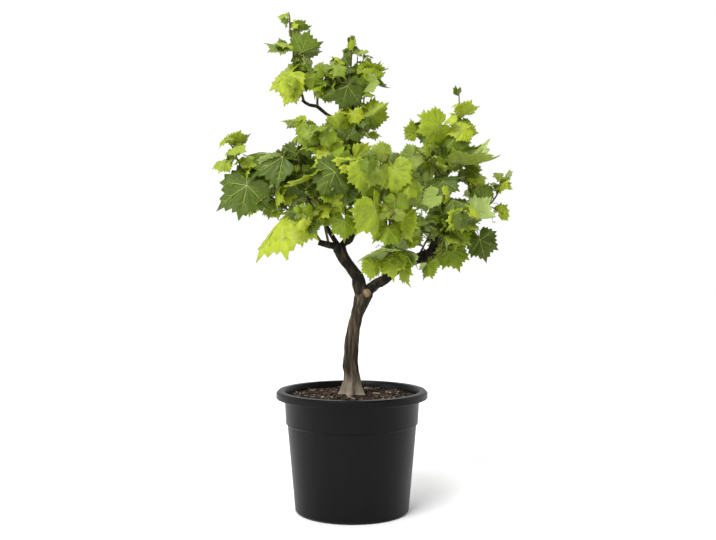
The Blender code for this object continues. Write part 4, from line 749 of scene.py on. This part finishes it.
# How each leaf shape folds along its midrib, droops and waves at its edge
FOLD = (0.10, 0.75)
DROOP = (0.10, 0.45)
WAVE = (0.04, 0.11)
WAVES = (3, 4, 5)
WAVE_START = (0, 6)
PUCKER = 0.06
PUCKER_REACH = 27
RIPPLE = 0.012
RIPPLE_OUT = 17
RIPPLE_ROUND = 0.16

# Veins: from the stalk along the lobes, each with side veins that leave it in pairs
VEIN_ANGLES = (0, 47, -47, 105, -105)
VEIN_REACH = 0.94
VEIN_WIDTH = 0.020
VEIN_HEIGHT = 0.010
VEIN_SINK = 0.001
VEIN_THINNING = 0.75
SIDE_VEIN_STARTS = (0.28, 0.48, 0.68)
SIDE_VEIN_TURN = 0.8
SIDE_VEIN_REACH = 0.30
SIDE_VEIN_FADE = 1.15
SIDE_VEIN_WIDTH = 0.010

# How each leaf of the crown varies, in radians and as a share of its length
LEAF_ROLL = 0.50
LEAF_PITCH = 0.22
LEAF_SPREAD = (0.90, 1.06)
TINT_RUN = 3
TINT_SHARES = (5, 4, 4, 3, 3, 2)

# Tendrils and flower buds
TENDRIL_AT = 0.62
TENDRIL_POINTS = 22
TENDRIL_LENGTH = 0.030
TENDRIL_LIFT = 0.012
TENDRIL_CURL = 0.0045
TENDRIL_TURNS = (1.6, 1.8)
TENDRIL_RADII = (0.0007, 0.0004)
BUDS_AT = 0.90
BUDS = 16
BUD_SHARES = (0.3, 1.05)
BUD_LENGTH = 0.014
BUD_BEND = 0.006
BUD_SPREAD = 0.0026
BUD_TAPER = 1.25
BUD_RADII = (0.0008, 0.0013)
BUD_STALK_RADII = (0.0007, 0.0005)

# Bark: fibres and threads, each as fineness across and along the limb and depth, and knobs, as fineness
# and depth. Then the sides, the steps between the plan's points and the relief of each kind of limb, where
# a thick one has more than THICK_LIMB of radius at its start.
BARK_SCALE = 2.6
FIBRE = (2.2, 14, 0.9)
THREAD = (6.5, 34, 0.55)
KNOB = (60, 0.5)
THICK_LIMB = 0.009
TRUNK_BARK = (56, 10, 0.0030)
THICK_BARK = (40, 9, 0.0028)
THIN_BARK = (20, 9, 0.0009)

# The flare at the foot of the trunk
FLARE_ROOTS = 5
FLARE_DEPTH = 0.0075
FLARE_HEIGHT = 0.045
FLARE_START = 0.6
FLARE_BASE = 0.4

# The old pruning cut below the fork
WOUND_PLACE = (0.0285, -0.0125, 0.4330)
WOUND_REACH = (0.0095, 0.0045, 0.0085)
WOUND_ROUGHNESS = 0.10
WOUND_GRAIN = 2.5

# Materials: colours in screen values, roughness, scale of the mottle, depth of the bump and stretch
Finish = namedtuple("Finish", "colours roughness scale bump stretch", defaults=[(1, 1, 1)])
FINISHES = {
    "dark arm bark": Finish([(12, 9, 6), (32, 26, 18), (66, 57, 43)], 0.94, 85, 0.003, (1.4, 1.4, 0.5)),
    "old bark": Finish([(20, 16, 11), (58, 49, 37), (112, 99, 81)], 0.95, 75, 0.004, (1.8, 1.8, 0.20)),
    "cut wood": Finish([(70, 58, 44), (150, 128, 98)], 0.9, 160, 0.001),
    "black pot plastic": Finish([(5, 5, 6), (9, 9, 10)], 0.40, 35, 0.0003, (1, 1, 0.2)),
    "potting mix": Finish([(20, 15, 11), (42, 33, 25), (66, 53, 41)], 0.95, 220, 0.002),
    "dark chip": Finish([(22, 16, 12), (42, 32, 25)], 0.95, 300, 0.0008),
    "brown chip": Finish([(48, 35, 26), (82, 63, 48)], 0.92, 300, 0.0008),
    "pale chip": Finish([(108, 92, 74), (160, 144, 122)], 0.9, 300, 0.0008),
    "young cane": Finish([(52, 40, 26), (96, 84, 44)], 0.7, 80, 0.0006, (1, 1, 0.4)),
    "leaf stalk": Finish([(110, 122, 52), (140, 118, 70)], 0.55, 60, 0.0003),
    "flower bud": Finish([(132, 146, 70), (170, 180, 106)], 0.6, 200, 0.0002),
}
UPPER_COLOURS = [
    (138, 156, 26), (158, 172, 36), (116, 136, 18), (92, 112, 14), (126, 142, 40), (72, 90, 8),
]
UNDER_COLOURS = [(160, 178, 100), (140, 158, 72)]
VEIN_COLOUR = (158, 174, 82)

# Leaf materials: the colours of each kind, the shades each wanders between, roughness, scale and bump
LEAF_FINISHES = [
    ("leaf upper {}", UPPER_COLOURS, (0.80, 1.18), 0.46, 90, 0.0004),
    ("leaf under {}", UNDER_COLOURS, (0.9, 1.1), 0.62, 90, 0.0004),
    ("leaf vein", [VEIN_COLOUR], (0.9, 1.0), 0.5, 120, 0.0002),
]
PALE_BARK = (168, 154, 136)
PALE_BARK_HEIGHT = 0.045
PALE_BARK_SHARE = 0.65
MOTTLE_FROM = 0.30
MOTTLE_WIDTH = 0.40
MOTTLE_DETAIL = 6.0
BUMP_STRENGTH = 0.6
SHINE = 0.28
PLASTIC_SHINE = 0.14

# Studio: reaches in metres, turns in degrees, and each lamp's place, width and power
FLOOR_REACH = 30
FLOOR_TONE = 0.97
WALL_BACK = 8
WALL_FOOT = -0.01
WORLD_LIGHT = 0.5
KEY_LIGHT = 2.6
KEY_SOFTNESS = 30
KEY_WAY = (0.45, 0.75, -1.0)
LAMPS = {"side": ((-2.2, -0.9, 0.8), 1.0, 14), "top": ((0.2, 0.4, 3.2), 1.2, 22)}
LAMP_AIM = Vector((0, 0, 0.5))
SENSOR_WIDE = 36
FAR_CLIP = 100
WHITE = (1, 1, 1, 1)
BLACK = (0, 0, 0, 1)


def linear(colour):
    """A colour given in screen values, as the linear values a shader takes."""
    return tuple((c / 255 / 12.92) if c <= 10 else ((c / 255 + 0.055) / 1.055) ** 2.4 for c in colour)


def shades(colour, factors):
    """Darker and lighter forms of one screen colour, as linear values."""
    return [tuple(min(1.0, c * factor) for c in linear(colour)) for factor in factors]


def set_inputs(node, values):
    for name, value in values.items():
        node.inputs[name].default_value = value
    return node


def wire(material, runs):
    """Links outputs to inputs, each given as a node, its output, the next node and its input."""
    for source, output, target, socket in runs:
        material.node_tree.links.new(source.outputs[output], target.inputs[socket])


def principled(name, roughness):
    """A plain material, and its shader."""
    material = bpy.data.materials.new(name)
    material.use_nodes = True
    shader = material.node_tree.nodes["Principled BSDF"]
    set_inputs(shader, {"Roughness": roughness, "Specular IOR Level": SHINE})
    return material, shader


def mottled(name, colours, roughness, scale, bump, stretch=(1, 1, 1)):
    """A material whose colour wanders between plain colours and whose surface is finely uneven."""
    material, shader = principled(name, roughness)
    nodes = material.node_tree.nodes
    place = nodes.new("ShaderNodeTexCoord")
    mapping = set_inputs(nodes.new("ShaderNodeMapping"), {"Scale": stretch})
    mottle = set_inputs(nodes.new("ShaderNodeTexNoise"), {"Scale": scale, "Detail": MOTTLE_DETAIL})
    ramp = nodes.new("ShaderNodeValToRGB")
    while len(ramp.color_ramp.elements) < len(colours):
        ramp.color_ramp.elements.new(0.5)
    for i, (element, colour) in enumerate(zip(ramp.color_ramp.elements, colours)):
        element.position = MOTTLE_FROM + MOTTLE_WIDTH * i / (len(colours) - 1)
        element.color = (*colour, 1)
    rough = set_inputs(nodes.new("ShaderNodeBump"), {"Strength": BUMP_STRENGTH, "Distance": bump})
    wire(material, [
        (place, "Object", mapping, "Vector"),
        (mapping, "Vector", mottle, "Vector"),
        (mottle, "Fac", ramp, "Fac"),
        (ramp, "Color", shader, "Base Color"),
        (mottle, "Fac", rough, "Height"),
        (rough, "Normal", shader, "Normal"),
    ])
    return material


def finish(name):
    """The mottled material of this name."""
    colours, *rest = FINISHES[name]
    return mottled(name, [linear(colour) for colour in colours], *rest)


def leaf_finishes():
    """The upper sides in their tints, then the under sides, then the veins."""
    return [
        mottled(name.format(i), shades(colour, factors), *rest)
        for name, colours, factors, *rest in LEAF_FINISHES
        for i, colour in enumerate(colours)
    ]


def trunk_bark():
    """Fibrous grey-brown bark that turns pale towards the soil."""
    material = finish("old bark")
    nodes = material.node_tree.nodes
    ramp = next(node for node in nodes if node.type == "VALTORGB")
    place = next(node for node in nodes if node.type == "TEX_COORD")
    split = nodes.new("ShaderNodeSeparateXYZ")
    height = nodes.new("ShaderNodeMapRange")
    set_inputs(height, {"From Min": SOIL_TOP + PALE_BARK_HEIGHT, "From Max": SOIL_TOP})
    set_inputs(height, {"To Max": PALE_BARK_SHARE})
    blend = nodes.new("ShaderNodeMix")
    blend.data_type = "RGBA"
    set_inputs(blend, {"B": (*linear(PALE_BARK), 1)})
    wire(material, [
        (place, "Object", split, "Vector"),
        (split, "Z", height, "Value"),
        (height, "Result", blend, "Factor"),
        (ramp, "Color", blend, "A"),
        (blend, "Result", nodes["Principled BSDF"], "Base Color"),
    ])
    return material


def linked(name, data):
    """An object of this mesh, lamp or camera, in the scene."""
    thing = bpy.data.objects.new(name, data)
    bpy.context.scene.collection.objects.link(thing)
    return thing


def mesh_of(name, points, faces, materials=()):
    mesh = bpy.data.meshes.new(name)
    mesh.from_pydata([tuple(point) for point in points], [], faces)
    for material in materials:
        mesh.materials.append(material)
    return mesh


def piece_of(name, points, faces, materials, kinds=None, smooth_faces=True):
    """A mesh object that rides with the plant."""
    mesh = mesh_of(name, points, faces, materials)
    if kinds is not None:
        mesh.polygons.foreach_set("material_index", kinds)
    mesh.polygons.foreach_set("use_smooth", [smooth_faces] * len(mesh.polygons))
    mesh.update()
    thing = linked(name, mesh)
    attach(thing, "root")
    return thing


def gathered(shapes):
    """Several shapes as one list of points and one of faces."""
    points = []
    faces = []
    for some_points, some_faces in shapes:
        first = len(points)
        points += some_points
        faces += [tuple(first + i for i in face) for face in some_faces]
    return points, faces


def ball_shape(make, **sizes):
    """Points and faces of a ball made by one of the mesh operators."""
    ball = bmesh.new()
    make(ball, **sizes)
    ball.verts.index_update()
    points = [vertex.co.copy() for vertex in ball.verts]
    faces = [tuple(vertex.index for vertex in face.verts) for face in ball.faces]
    ball.free()
    return points, faces


def pot_wall(swell):
    """Radius and height down the pot's outside below its lip, moved out by swell."""
    return [
        (BAND_TOP_RADIUS + swell, POT_HEIGHT - LIP_DROP),
        (BAND_FOOT_RADIUS + swell, BAND_FOOT),
        (BODY_TOP_RADIUS + swell, BAND_FOOT - STEP_DROP),
        (BASE_RADIUS + swell, BASE_BEVEL),
    ]


def pot_profile():
    """From the axis over the floor, up the inside, round the hollow lip and down the outside."""
    inside = pot_wall(-WALL)
    lip = RIM_RADIUS - LIP_THICKNESS
    return [
        (0, FLOOR),
        (inside[3][0], FLOOR),
        *reversed(inside[:3]),
        (inside[0][0] + EDGE_ROUND, POT_HEIGHT - RIM_ROUND),
        (inside[0][0] + RIM_ROUND, POT_HEIGHT),
        (RIM_RADIUS - RIM_ROUND, POT_HEIGHT),
        (RIM_RADIUS, POT_HEIGHT - RIM_ROUND),
        (RIM_RADIUS, POT_HEIGHT - LIP_DROP + EDGE_ROUND),
        (RIM_RADIUS - EDGE_ROUND, POT_HEIGHT - LIP_DROP),
        (lip, POT_HEIGHT - LIP_DROP),
        (lip - EDGE_ROUND, POT_HEIGHT - LIP_HOLLOW_TOP),
        (BAND_TOP_RADIUS + LIP_HOLLOW_FOOT, POT_HEIGHT - LIP_HOLLOW_TOP),
        *pot_wall(0),
        (BASE_RADIUS - BASE_BEVEL, 0),
        (0, 0),
    ]


def turned(name, profile, sides, material):
    """A profile of radius and height, run from the axis down its outer side, turned about Z."""
    mesh = mesh_of(name, [(radius, 0, z) for radius, z in profile], [], [material])
    mesh.edges.add(len(profile) - 1)
    for i, edge in enumerate(mesh.edges):
        edge.vertices = (i, i + 1)
    thing = linked(name, mesh)
    screw = thing.modifiers.new("turn", "SCREW")
    screw.steps = sides
    screw.render_steps = sides
    screw.use_merge_vertices = True
    screw.merge_threshold = 0.0001
    screw.use_smooth_shade = True
    return thing


def drain_cutter(i):
    """One of the cutters that stand round the pot's floor."""
    drill = bmesh.new()
    sizes = {"segments": DRAIN_SIDES, "radius1": DRAIN_RADIUS, "radius2": DRAIN_RADIUS, "depth": 4 * FLOOR}
    bmesh.ops.create_cone(drill, cap_ends=True, **sizes)
    mesh = bpy.data.meshes.new("drain_cutter")
    drill.to_mesh(mesh)
    drill.free()
    angle = 2 * math.pi * (i + 0.5) / DRAIN_HOLES
    cutter = linked(f"drain_cutter_{i}", mesh)
    cutter.location = (DRAIN_RING * math.cos(angle), DRAIN_RING * math.sin(angle), FLOOR / 2)
    return cutter


def made_solid(thing):
    """Replaces an object's mesh by what its modifiers make of it."""
    bpy.context.view_layer.update()
    mesh = bpy.data.meshes.new_from_object(thing.evaluated_get(bpy.context.evaluated_depsgraph_get()))
    thing.modifiers.clear()
    thing.data = mesh


def dress_pot():
    """The pot turned finely, with rounded edges and its drain holes."""
    plastic = finish("black pot plastic")
    set_inputs(plastic.node_tree.nodes["Principled BSDF"], {"Specular IOR Level": PLASTIC_SHINE})
    pot = turned("pot_shell", pot_profile(), POT_SIDES, plastic)
    cutters = [drain_cutter(i) for i in range(DRAIN_HOLES)]
    for i, cutter in enumerate(cutters):
        drain = pot.modifiers.new(f"drain_{i}", "BOOLEAN")
        drain.operation = "DIFFERENCE"
        drain.object = cutter
    made_solid(pot)
    for cutter in cutters:
        bpy.data.objects.remove(cutter)
    pot.data.shade_smooth()
    pot.data.set_sharp_from_angle(angle=math.radians(SHARP_ANGLE))
    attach(pot, "root")
    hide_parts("pot")


def soil_height(x, y):
    """The height of the uneven mix, which rises a little towards the trunk."""
    height = SOIL_EDGE + (SOIL_TOP - SOIL_EDGE) * max(0.0, 1 - math.hypot(x, y) / MOUND_RADIUS)
    for scale, depth in SOIL_RELIEF:
        height += depth * noise.noise(Vector((x, y, 0)) * scale)
    return height


def soil_shape(edge):
    """The mix as rings of points from its edge to its middle, closed by a flat underside."""
    points = []
    faces = []
    for i in range(1, SOIL_RINGS + 1):
        for angle in round_points(SOIL_SIDES):
            x = edge * i / SOIL_RINGS * math.cos(angle)
            y = edge * i / SOIL_RINGS * math.sin(angle)
            points.append((x, y, soil_height(x, y)))
    top = len(points)
    outer = top - SOIL_SIDES
    for near in range(0, outer, SOIL_SIDES):
        far = near + SOIL_SIDES
        for k in range(SOIL_SIDES):
            after = (k + 1) % SOIL_SIDES
            faces.append((near + k, far + k, far + after, near + after))
    under = SOIL_EDGE - SOIL_DEPTH
    points += [(SOIL_FOOT_SHARE * x, SOIL_FOOT_SHARE * y, under) for x, y, _ in points[outer:]]
    points += [(0, 0, soil_height(0, 0)), (0, 0, under)]
    over = len(points) - 2
    for k in range(SOIL_SIDES):
        after = (k + 1) % SOIL_SIDES
        faces.append((outer + k, top + k, top + after, outer + after))
        faces.append((over, k, after))
        faces.append((over + 1, top + after, top + k))
    return points, faces


def chip_shape(edge, draw):
    """The eight corners of one rough chip that lies on the mix."""
    radius = (edge - CHIP_EDGE_GAP) * math.sqrt(draw.uniform(0.03, 1))
    angle = draw.uniform(0, 2 * math.pi)
    x, y = radius * math.cos(angle), radius * math.sin(angle)
    length = draw.uniform(*CHIP_LENGTH) * (LONG_CHIP if draw.random() < LONG_CHIP_SHARE else 1)
    size = Vector((length, length * draw.uniform(*CHIP_WIDTH_SHARE), draw.uniform(*CHIP_THICKNESS)))
    turn = Euler((draw.gauss(0, CHIP_TILT), draw.gauss(0, CHIP_TILT), draw.uniform(0, 6.3))).to_matrix()
    middle = Vector((x, y, soil_height(x, y) + CHIP_LIFT))
    corners = []
    for i in range(8):
        corner = Vector(((-1) ** i, (-1) ** (i // 2), (-1) ** (i // 4)))
        uneven = Vector([side * draw.uniform(*CHIP_UNEVEN) for side in corner])
        corners.append(middle + turn @ (uneven * size))
    return corners


def dress_soil():
    """The bark mix and the chips on it."""
    edge = BAND_TOP_RADIUS - WALL - SOIL_EDGE_GAP
    soil = piece_of("potting_mix", *soil_shape(edge), [finish("potting mix")])
    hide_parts("soil")
    draw = random.Random(3)
    block = [(0, 1, 3, 2), (4, 6, 7, 5), (0, 4, 5, 1), (2, 3, 7, 6), (0, 2, 6, 4), (1, 5, 7, 3)]
    shapes = []
    kinds = []
    for _ in range(CHIPS):
        shapes.append((chip_shape(edge, draw), block))
        kinds += draw.choices(range(len(CHIP_TONES)), CHIP_TONE_SHARES) * len(block)
    tones = [finish(name) for name in CHIP_TONES]
    chips = piece_of("bark_chips", *gathered(shapes), tones, kinds, smooth_faces=False)


def grain(out, height, pattern):
    """How far the fibres of one pattern stand out of the bark at this side and height."""
    across, along, depth = pattern
    return depth * noise.noise(Vector((out.x * across, out.y * across, height * along)))


def relief_tube(path, sides, steps, relief, flared=False):
    """A limb with fibres, ridges and knots in its bark."""
    fine = smooth(path, steps)
    loops = rings(fine, sides)
    for place, loop in zip(fine, loops):
        middle = Vector(place[:3])
        for k, point in enumerate(loop):
            out = (point - middle).normalized()
            fibres = grain(out * BARK_SCALE, place[2], FIBRE) + grain(out * BARK_SCALE, place[2], THREAD)
            push = relief * (fibres + KNOB[1] * noise.noise(point * KNOB[0]))
            if flared:
                fade = max(0.0, 1 - (place[2] - fine[0][2]) / FLARE_HEIGHT) ** 2
                ridge = math.cos(FLARE_ROOTS * 2 * math.pi * k / sides + FLARE_START)
                push += FLARE_DEPTH * fade * (FLARE_BASE + ridge)
            loop[k] = point + out * push
    return skinned(loops)


def dress_trunk():
    trunk = piece_of("trunk_bark", *relief_tube(TRUNK, *TRUNK_BARK, flared=True), [trunk_bark()])
    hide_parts("trunk")


def dress_limbs():
    """The arms, spurs and boughs, in darker bark."""
    dark = finish("dark arm bark")
    for name, points in LIMBS.items():
        bark = THICK_BARK if points[0][3] > THICK_LIMB else THIN_BARK
        piece = piece_of(name + "_bark", *relief_tube(points, *bark), [dark])
        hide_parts(name)


def dress_wound():
    """The bare wood of an old cut."""
    points, faces = ball_shape(bmesh.ops.create_uvsphere, u_segments=24, v_segments=12, radius=1.0)
    placed = []
    for point in points:
        rough = point * (1 + WOUND_ROUGHNESS * noise.noise(point * WOUND_GRAIN))
        placed.append([middle + reach * c for middle, reach, c in zip(WOUND_PLACE, WOUND_REACH, rough)])
    thing = piece_of("cut_wound", placed, faces, [finish("cut wood")], smooth_faces=False)


def lobe_reach(angle):
    """How far the blade reaches at this angle from its midrib, as a share of its length."""
    angle = abs(angle)
    for i, ((a, near), (b, far)) in enumerate(zip(LOBES, LOBES[1:])):
        if angle <= b:
            t = (angle - a) / (b - a)
            t = math.sin(t * math.pi / 2) if i % 2 == 0 else 1 - math.cos(t * math.pi / 2)
            return near + (far - near) * t
    return LOBES[-1][1]


def leaf_height(x, y, form):
    """How high the upper side lies at a place of the flat blade."""
    angle = math.degrees(math.atan2(y, x))
    share = min(1.0, math.hypot(x, y) / max(lobe_reach(angle), LEAST_REACH))
    off_vein = min(abs(angle - vein) for vein in VEIN_ANGLES)
    pucker = PUCKER * math.sin(math.pi * min(off_vein / PUCKER_REACH, 1.0)) * share
    ripple = RIPPLE * math.sin(share * RIPPLE_OUT + off_vein * RIPPLE_ROUND)
    wave = form["wave"] * share**2 * math.sin(math.radians(angle) * form["waves"] + form["phase"])
    return -form["fold"] * abs(y) - form["droop"] * x * abs(x) + pucker + ripple + wave


def leaf_template(draw, sides, shares):
    """Unit leaf: points, faces and a number for each face, 0 upper side, 1 under side, 2 vein."""
    form = {
        "fold": draw.uniform(*FOLD),
        "droop": draw.uniform(*DROOP),
        "wave": draw.uniform(*WAVE),
        "waves": draw.choice(WAVES),
        "phase": draw.uniform(*WAVE_START),
    }
    points = [(0, 0, 0), (0, 0, -SHEET)]
    faces = []
    kinds = []
    for share in shares:
        for k in range(sides):
            degrees = (k * 360 / sides + 180) % 360 - 180
            reach = lobe_reach(degrees) * share
            if k % 2 and share > TOOTHED_FROM:
                reach *= 1 - TOOTH_DEPTH
            x = reach * math.cos(math.radians(degrees))
            y = reach * math.sin(math.radians(degrees))
            z = leaf_height(x, y, form)
            points += [(x, y, z), (x, y, z - SHEET)]
    for k in range(sides):
        after = (k + 1) % sides
        faces += [(0, 2 + 2 * k, 2 + 2 * after), (1, 3 + 2 * after, 3 + 2 * k)]
        kinds += [0, 1]
        for ring in range(len(shares) - 1):
            a = 2 + 2 * (ring * sides + k)
            b = 2 + 2 * (ring * sides + after)
            c, d = a + 2 * sides, b + 2 * sides
            faces += [(a, c, d, b), (a + 1, b + 1, d + 1, c + 1)]
            kinds += [0, 1]
        last = 2 + 2 * (len(shares) - 1) * sides
        a, b = last + 2 * k, last + 2 * after
        faces.append((a, a + 1, b + 1, b))
        kinds.append(0)
    for vein in vein_runs():
        add_vein(points, faces, kinds, form, *vein)
    return np.array(points, float), faces, kinds


def vein_runs():
    """Each vein and side vein: where it starts, its heading, its length and its width there."""
    runs = []
    for vein in VEIN_ANGLES:
        heading = math.radians(vein)
        length = lobe_reach(vein) * VEIN_REACH
        runs.append(((0, 0), heading, length, VEIN_WIDTH))
        for share in SIDE_VEIN_STARTS:
            start = (share * length * math.cos(heading), share * length * math.sin(heading))
            reach = length * SIDE_VEIN_REACH * (SIDE_VEIN_FADE - share)
            for turn in (-SIDE_VEIN_TURN, SIDE_VEIN_TURN):
                runs.append((start, heading + turn, reach, SIDE_VEIN_WIDTH))
    return runs


def add_vein(points, faces, kinds, form, start, way, run, width):
    """A low roof along the upper side, and its like under the leaf, from start to a fine end."""
    steps = 5 if run > 0.3 else 2
    for side in (1, -1):
        first = len(points)
        for i in range(steps + 1):
            along = run * i / steps
            half = 0.5 * width * (1 - VEIN_THINNING * i / steps)
            for across, rise in ((-half, 0.0), (0.0, VEIN_HEIGHT), (half, 0.0)):
                x = start[0] + along * math.cos(way) - across * math.sin(way)
                y = start[1] + along * math.sin(way) + across * math.cos(way)
                lift = rise - VEIN_SINK if side > 0 else -SHEET - rise + VEIN_SINK
                points.append((x, y, leaf_height(x, y, form) + lift))
        for i in range(steps):
            for k in (0, 1):
                a = first + 3 * i + k
                face = (a, a + 3, a + 4, a + 1)
                faces.append(face if side < 0 else face[::-1])
                kinds.append(2)


def dress_mass(name, crown, materials, templates, draw):
    """One mass's blades, in tints that change every few leaves, with its shoots and leaf stalks."""
    points = []
    faces = []
    kinds = []
    count = 0
    for i, leaf in enumerate(crown.leaves[name]):
        if i % TINT_RUN == 0:
            tint = draw.choices(range(len(UPPER_COLOURS)), TINT_SHARES)[0]
            under = draw.randrange(len(UNDER_COLOURS))
        size = "small" if leaf.length < SMALL_LEAF else "large"
        flat, leaf_faces, leaf_kinds = draw.choice(templates[size])
        tilt = Euler((draw.gauss(0, LEAF_ROLL), draw.gauss(0, LEAF_PITCH), 0)).to_matrix()
        turn = np.array(leaf.lay.to_3x3() @ tilt) * draw.uniform(*LEAF_SPREAD)
        points.append(flat @ turn.T + np.array(leaf.lay.to_translation()))
        faces += [tuple(count + k for k in face) for face in leaf_faces]
        slots = (tint, len(UPPER_COLOURS) + under, len(UPPER_COLOURS) + len(UNDER_COLOURS))
        kinds += [slots[kind] for kind in leaf_kinds]
        count += len(flat)
    foliage = piece_of("foliage_" + name, np.concatenate(points), faces, materials["leaf"], kinds)
    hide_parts(name)
    stem, *twigs = crown.wood[name]
    wood = gathered([tube_shape(smooth(stem, 3), 10)] + [tube_shape(smooth(twig, 3), 7) for twig in twigs])
    piece_of("shoots_" + name, *wood, [materials["shoot"]])
    stalks = gathered([tube_shape(smooth(leaf.petiole, 4), 5) for leaf in crown.leaves[name]])
    piece_of("stalks_" + name, *stalks, [materials["stalk"]])


def tendril_shape(start, ahead, draw):
    """A thin curl that leaves a shoot and winds up towards its end."""
    across = turned_about(ahead, draw.uniform(0, 2 * math.pi))
    up = ahead.cross(across)
    places = []
    for i in range(TENDRIL_POINTS):
        share = i / (TENDRIL_POINTS - 1)
        wind = share**2 * draw.uniform(*TENDRIL_TURNS) * 2 * math.pi
        curl = TENDRIL_CURL * share
        out = across * (TENDRIL_LENGTH * share + curl * math.cos(wind))
        along = ahead * (TENDRIL_LIFT * share + curl * math.sin(wind))
        places.append(start + out + along + up * curl * math.sin(wind))
    return tube_shape(tapered(places, *TENDRIL_RADII), 5)


def bud_shapes(start, ahead, draw):
    """A small cluster of round flower buds on a short stalk."""
    stalk = [start, start + ahead * BUD_BEND, start + ahead * BUD_LENGTH]
    shapes = [tube_shape(tapered(stalk, *BUD_STALK_RADII), 5)]
    for _ in range(BUDS):
        share = draw.uniform(*BUD_SHARES)
        side = Vector((draw.gauss(0, 1), draw.gauss(0, 1), draw.gauss(0, 1))).normalized()
        middle = start + ahead * BUD_LENGTH * share + side * BUD_SPREAD * (BUD_TAPER - share)
        radius = draw.uniform(*BUD_RADII)
        points, faces = ball_shape(bmesh.ops.create_icosphere, subdivisions=1, radius=radius)
        shapes.append(([point + middle for point in points], faces))
    return shapes


def dress_shoot_tips(crown, stalk, draw):
    """Tendrils along the shoots and clusters of flower buds near their ends."""
    tendrils = []
    buds = []
    for mass in MASSES:
        for i, path in enumerate(crown.wood[mass]):
            if i % 2 == 0:
                tendrils.append(tendril_shape(*point_at(path, TENDRIL_AT), draw))
            if i % 3 == 1:
                buds += bud_shapes(*point_at(path, BUDS_AT), draw)
    piece_of("tendrils", *gathered(tendrils), [stalk])
    piece_of("flower_buds", *gathered(buds), [finish("flower bud")])


def dress_crown():
    """The whole crown: the plan's leaves, smaller ones between them, tendrils and buds."""
    crown = grow_crown()
    draw = random.Random(7)
    for mass in MASSES:
        grow_ruled_leaves(crown, mass, FINE_HABIT, draw)
    materials = {"leaf": leaf_finishes(), "shoot": finish("young cane"), "stalk": finish("leaf stalk")}
    templates = {
        size: [leaf_template(draw, *grid) for _ in range(SHAPES)]
        for size, grid in LEAF_GRIDS.items()
    }
    for mass in MASSES:
        dress_mass(mass, crown, materials, templates, draw)
    dress_shoot_tips(crown, materials["stalk"], draw)


def panel(name, corners, material):
    """A flat sheet of the studio."""
    sheet = linked(name, mesh_of(name, corners, [(0, 1, 2, 3)], [material]))


def dress_stage():
    """A pale floor and a white backdrop that shines by itself."""
    far = FLOOR_REACH
    pale, shader = principled("pale floor", 0.9)
    set_inputs(shader, {"Base Color": (FLOOR_TONE, FLOOR_TONE, FLOOR_TONE, 1)})
    panel("floor", [(-far, -far, 0), (far, -far, 0), (far, far, 0), (-far, far, 0)], pale)
    glow, shader = principled("white backdrop", 1.0)
    set_inputs(shader, {"Base Color": BLACK, "Emission Color": WHITE, "Emission Strength": 1.0})
    foot = [(-far, WALL_BACK, WALL_FOOT), (far, WALL_BACK, WALL_FOOT)]
    panel("backdrop", foot + [(far, WALL_BACK, far), (-far, WALL_BACK, far)], glow)


def dress_lights():
    """Even light from all round, a soft key from the left front and two broad lamps."""
    world = bpy.data.worlds.new("studio")
    bpy.context.scene.world = world
    world.use_nodes = True
    set_inputs(world.node_tree.nodes["Background"], {"Color": WHITE, "Strength": WORLD_LIGHT})
    sun = bpy.data.lights.new("key", "SUN")
    sun.energy = KEY_LIGHT
    sun.angle = math.radians(KEY_SOFTNESS)
    key = linked("key", sun)
    key.rotation_euler = Vector(KEY_WAY).to_track_quat("-Z", "Y").to_euler()
    for name, (place, size, power) in LAMPS.items():
        lamp = bpy.data.lights.new(name, "AREA")
        lamp.size = size
        lamp.energy = power
        thing = linked(name, lamp)
        thing.location = place
        thing.rotation_euler = (LAMP_AIM - Vector(place)).to_track_quat("-Z", "Y").to_euler()


def dress_camera():
    """The photograph's camera, level with the crown's foot and tilted a little down."""
    camera = bpy.data.cameras.new("camera")
    camera.sensor_width = SENSOR_WIDE
    camera.lens = SENSOR_WIDE * FOCAL_PX / PHOTO_WIDE
    camera.clip_end = FAR_CLIP
    view = linked("camera", camera)
    view.location = (CAMERA_RIGHT, -CAMERA_BACK, CAMERA_HEIGHT)
    view.rotation_euler = (math.radians(90 - LOOK_DOWN), 0, 0)
    bpy.context.scene.camera = view
    bpy.context.scene.view_settings.view_transform = "Standard"


dress_pot()
dress_soil()
dress_trunk()
dress_limbs()
dress_wound()
dress_crown()
dress_stage()
dress_lights()
dress_camera()
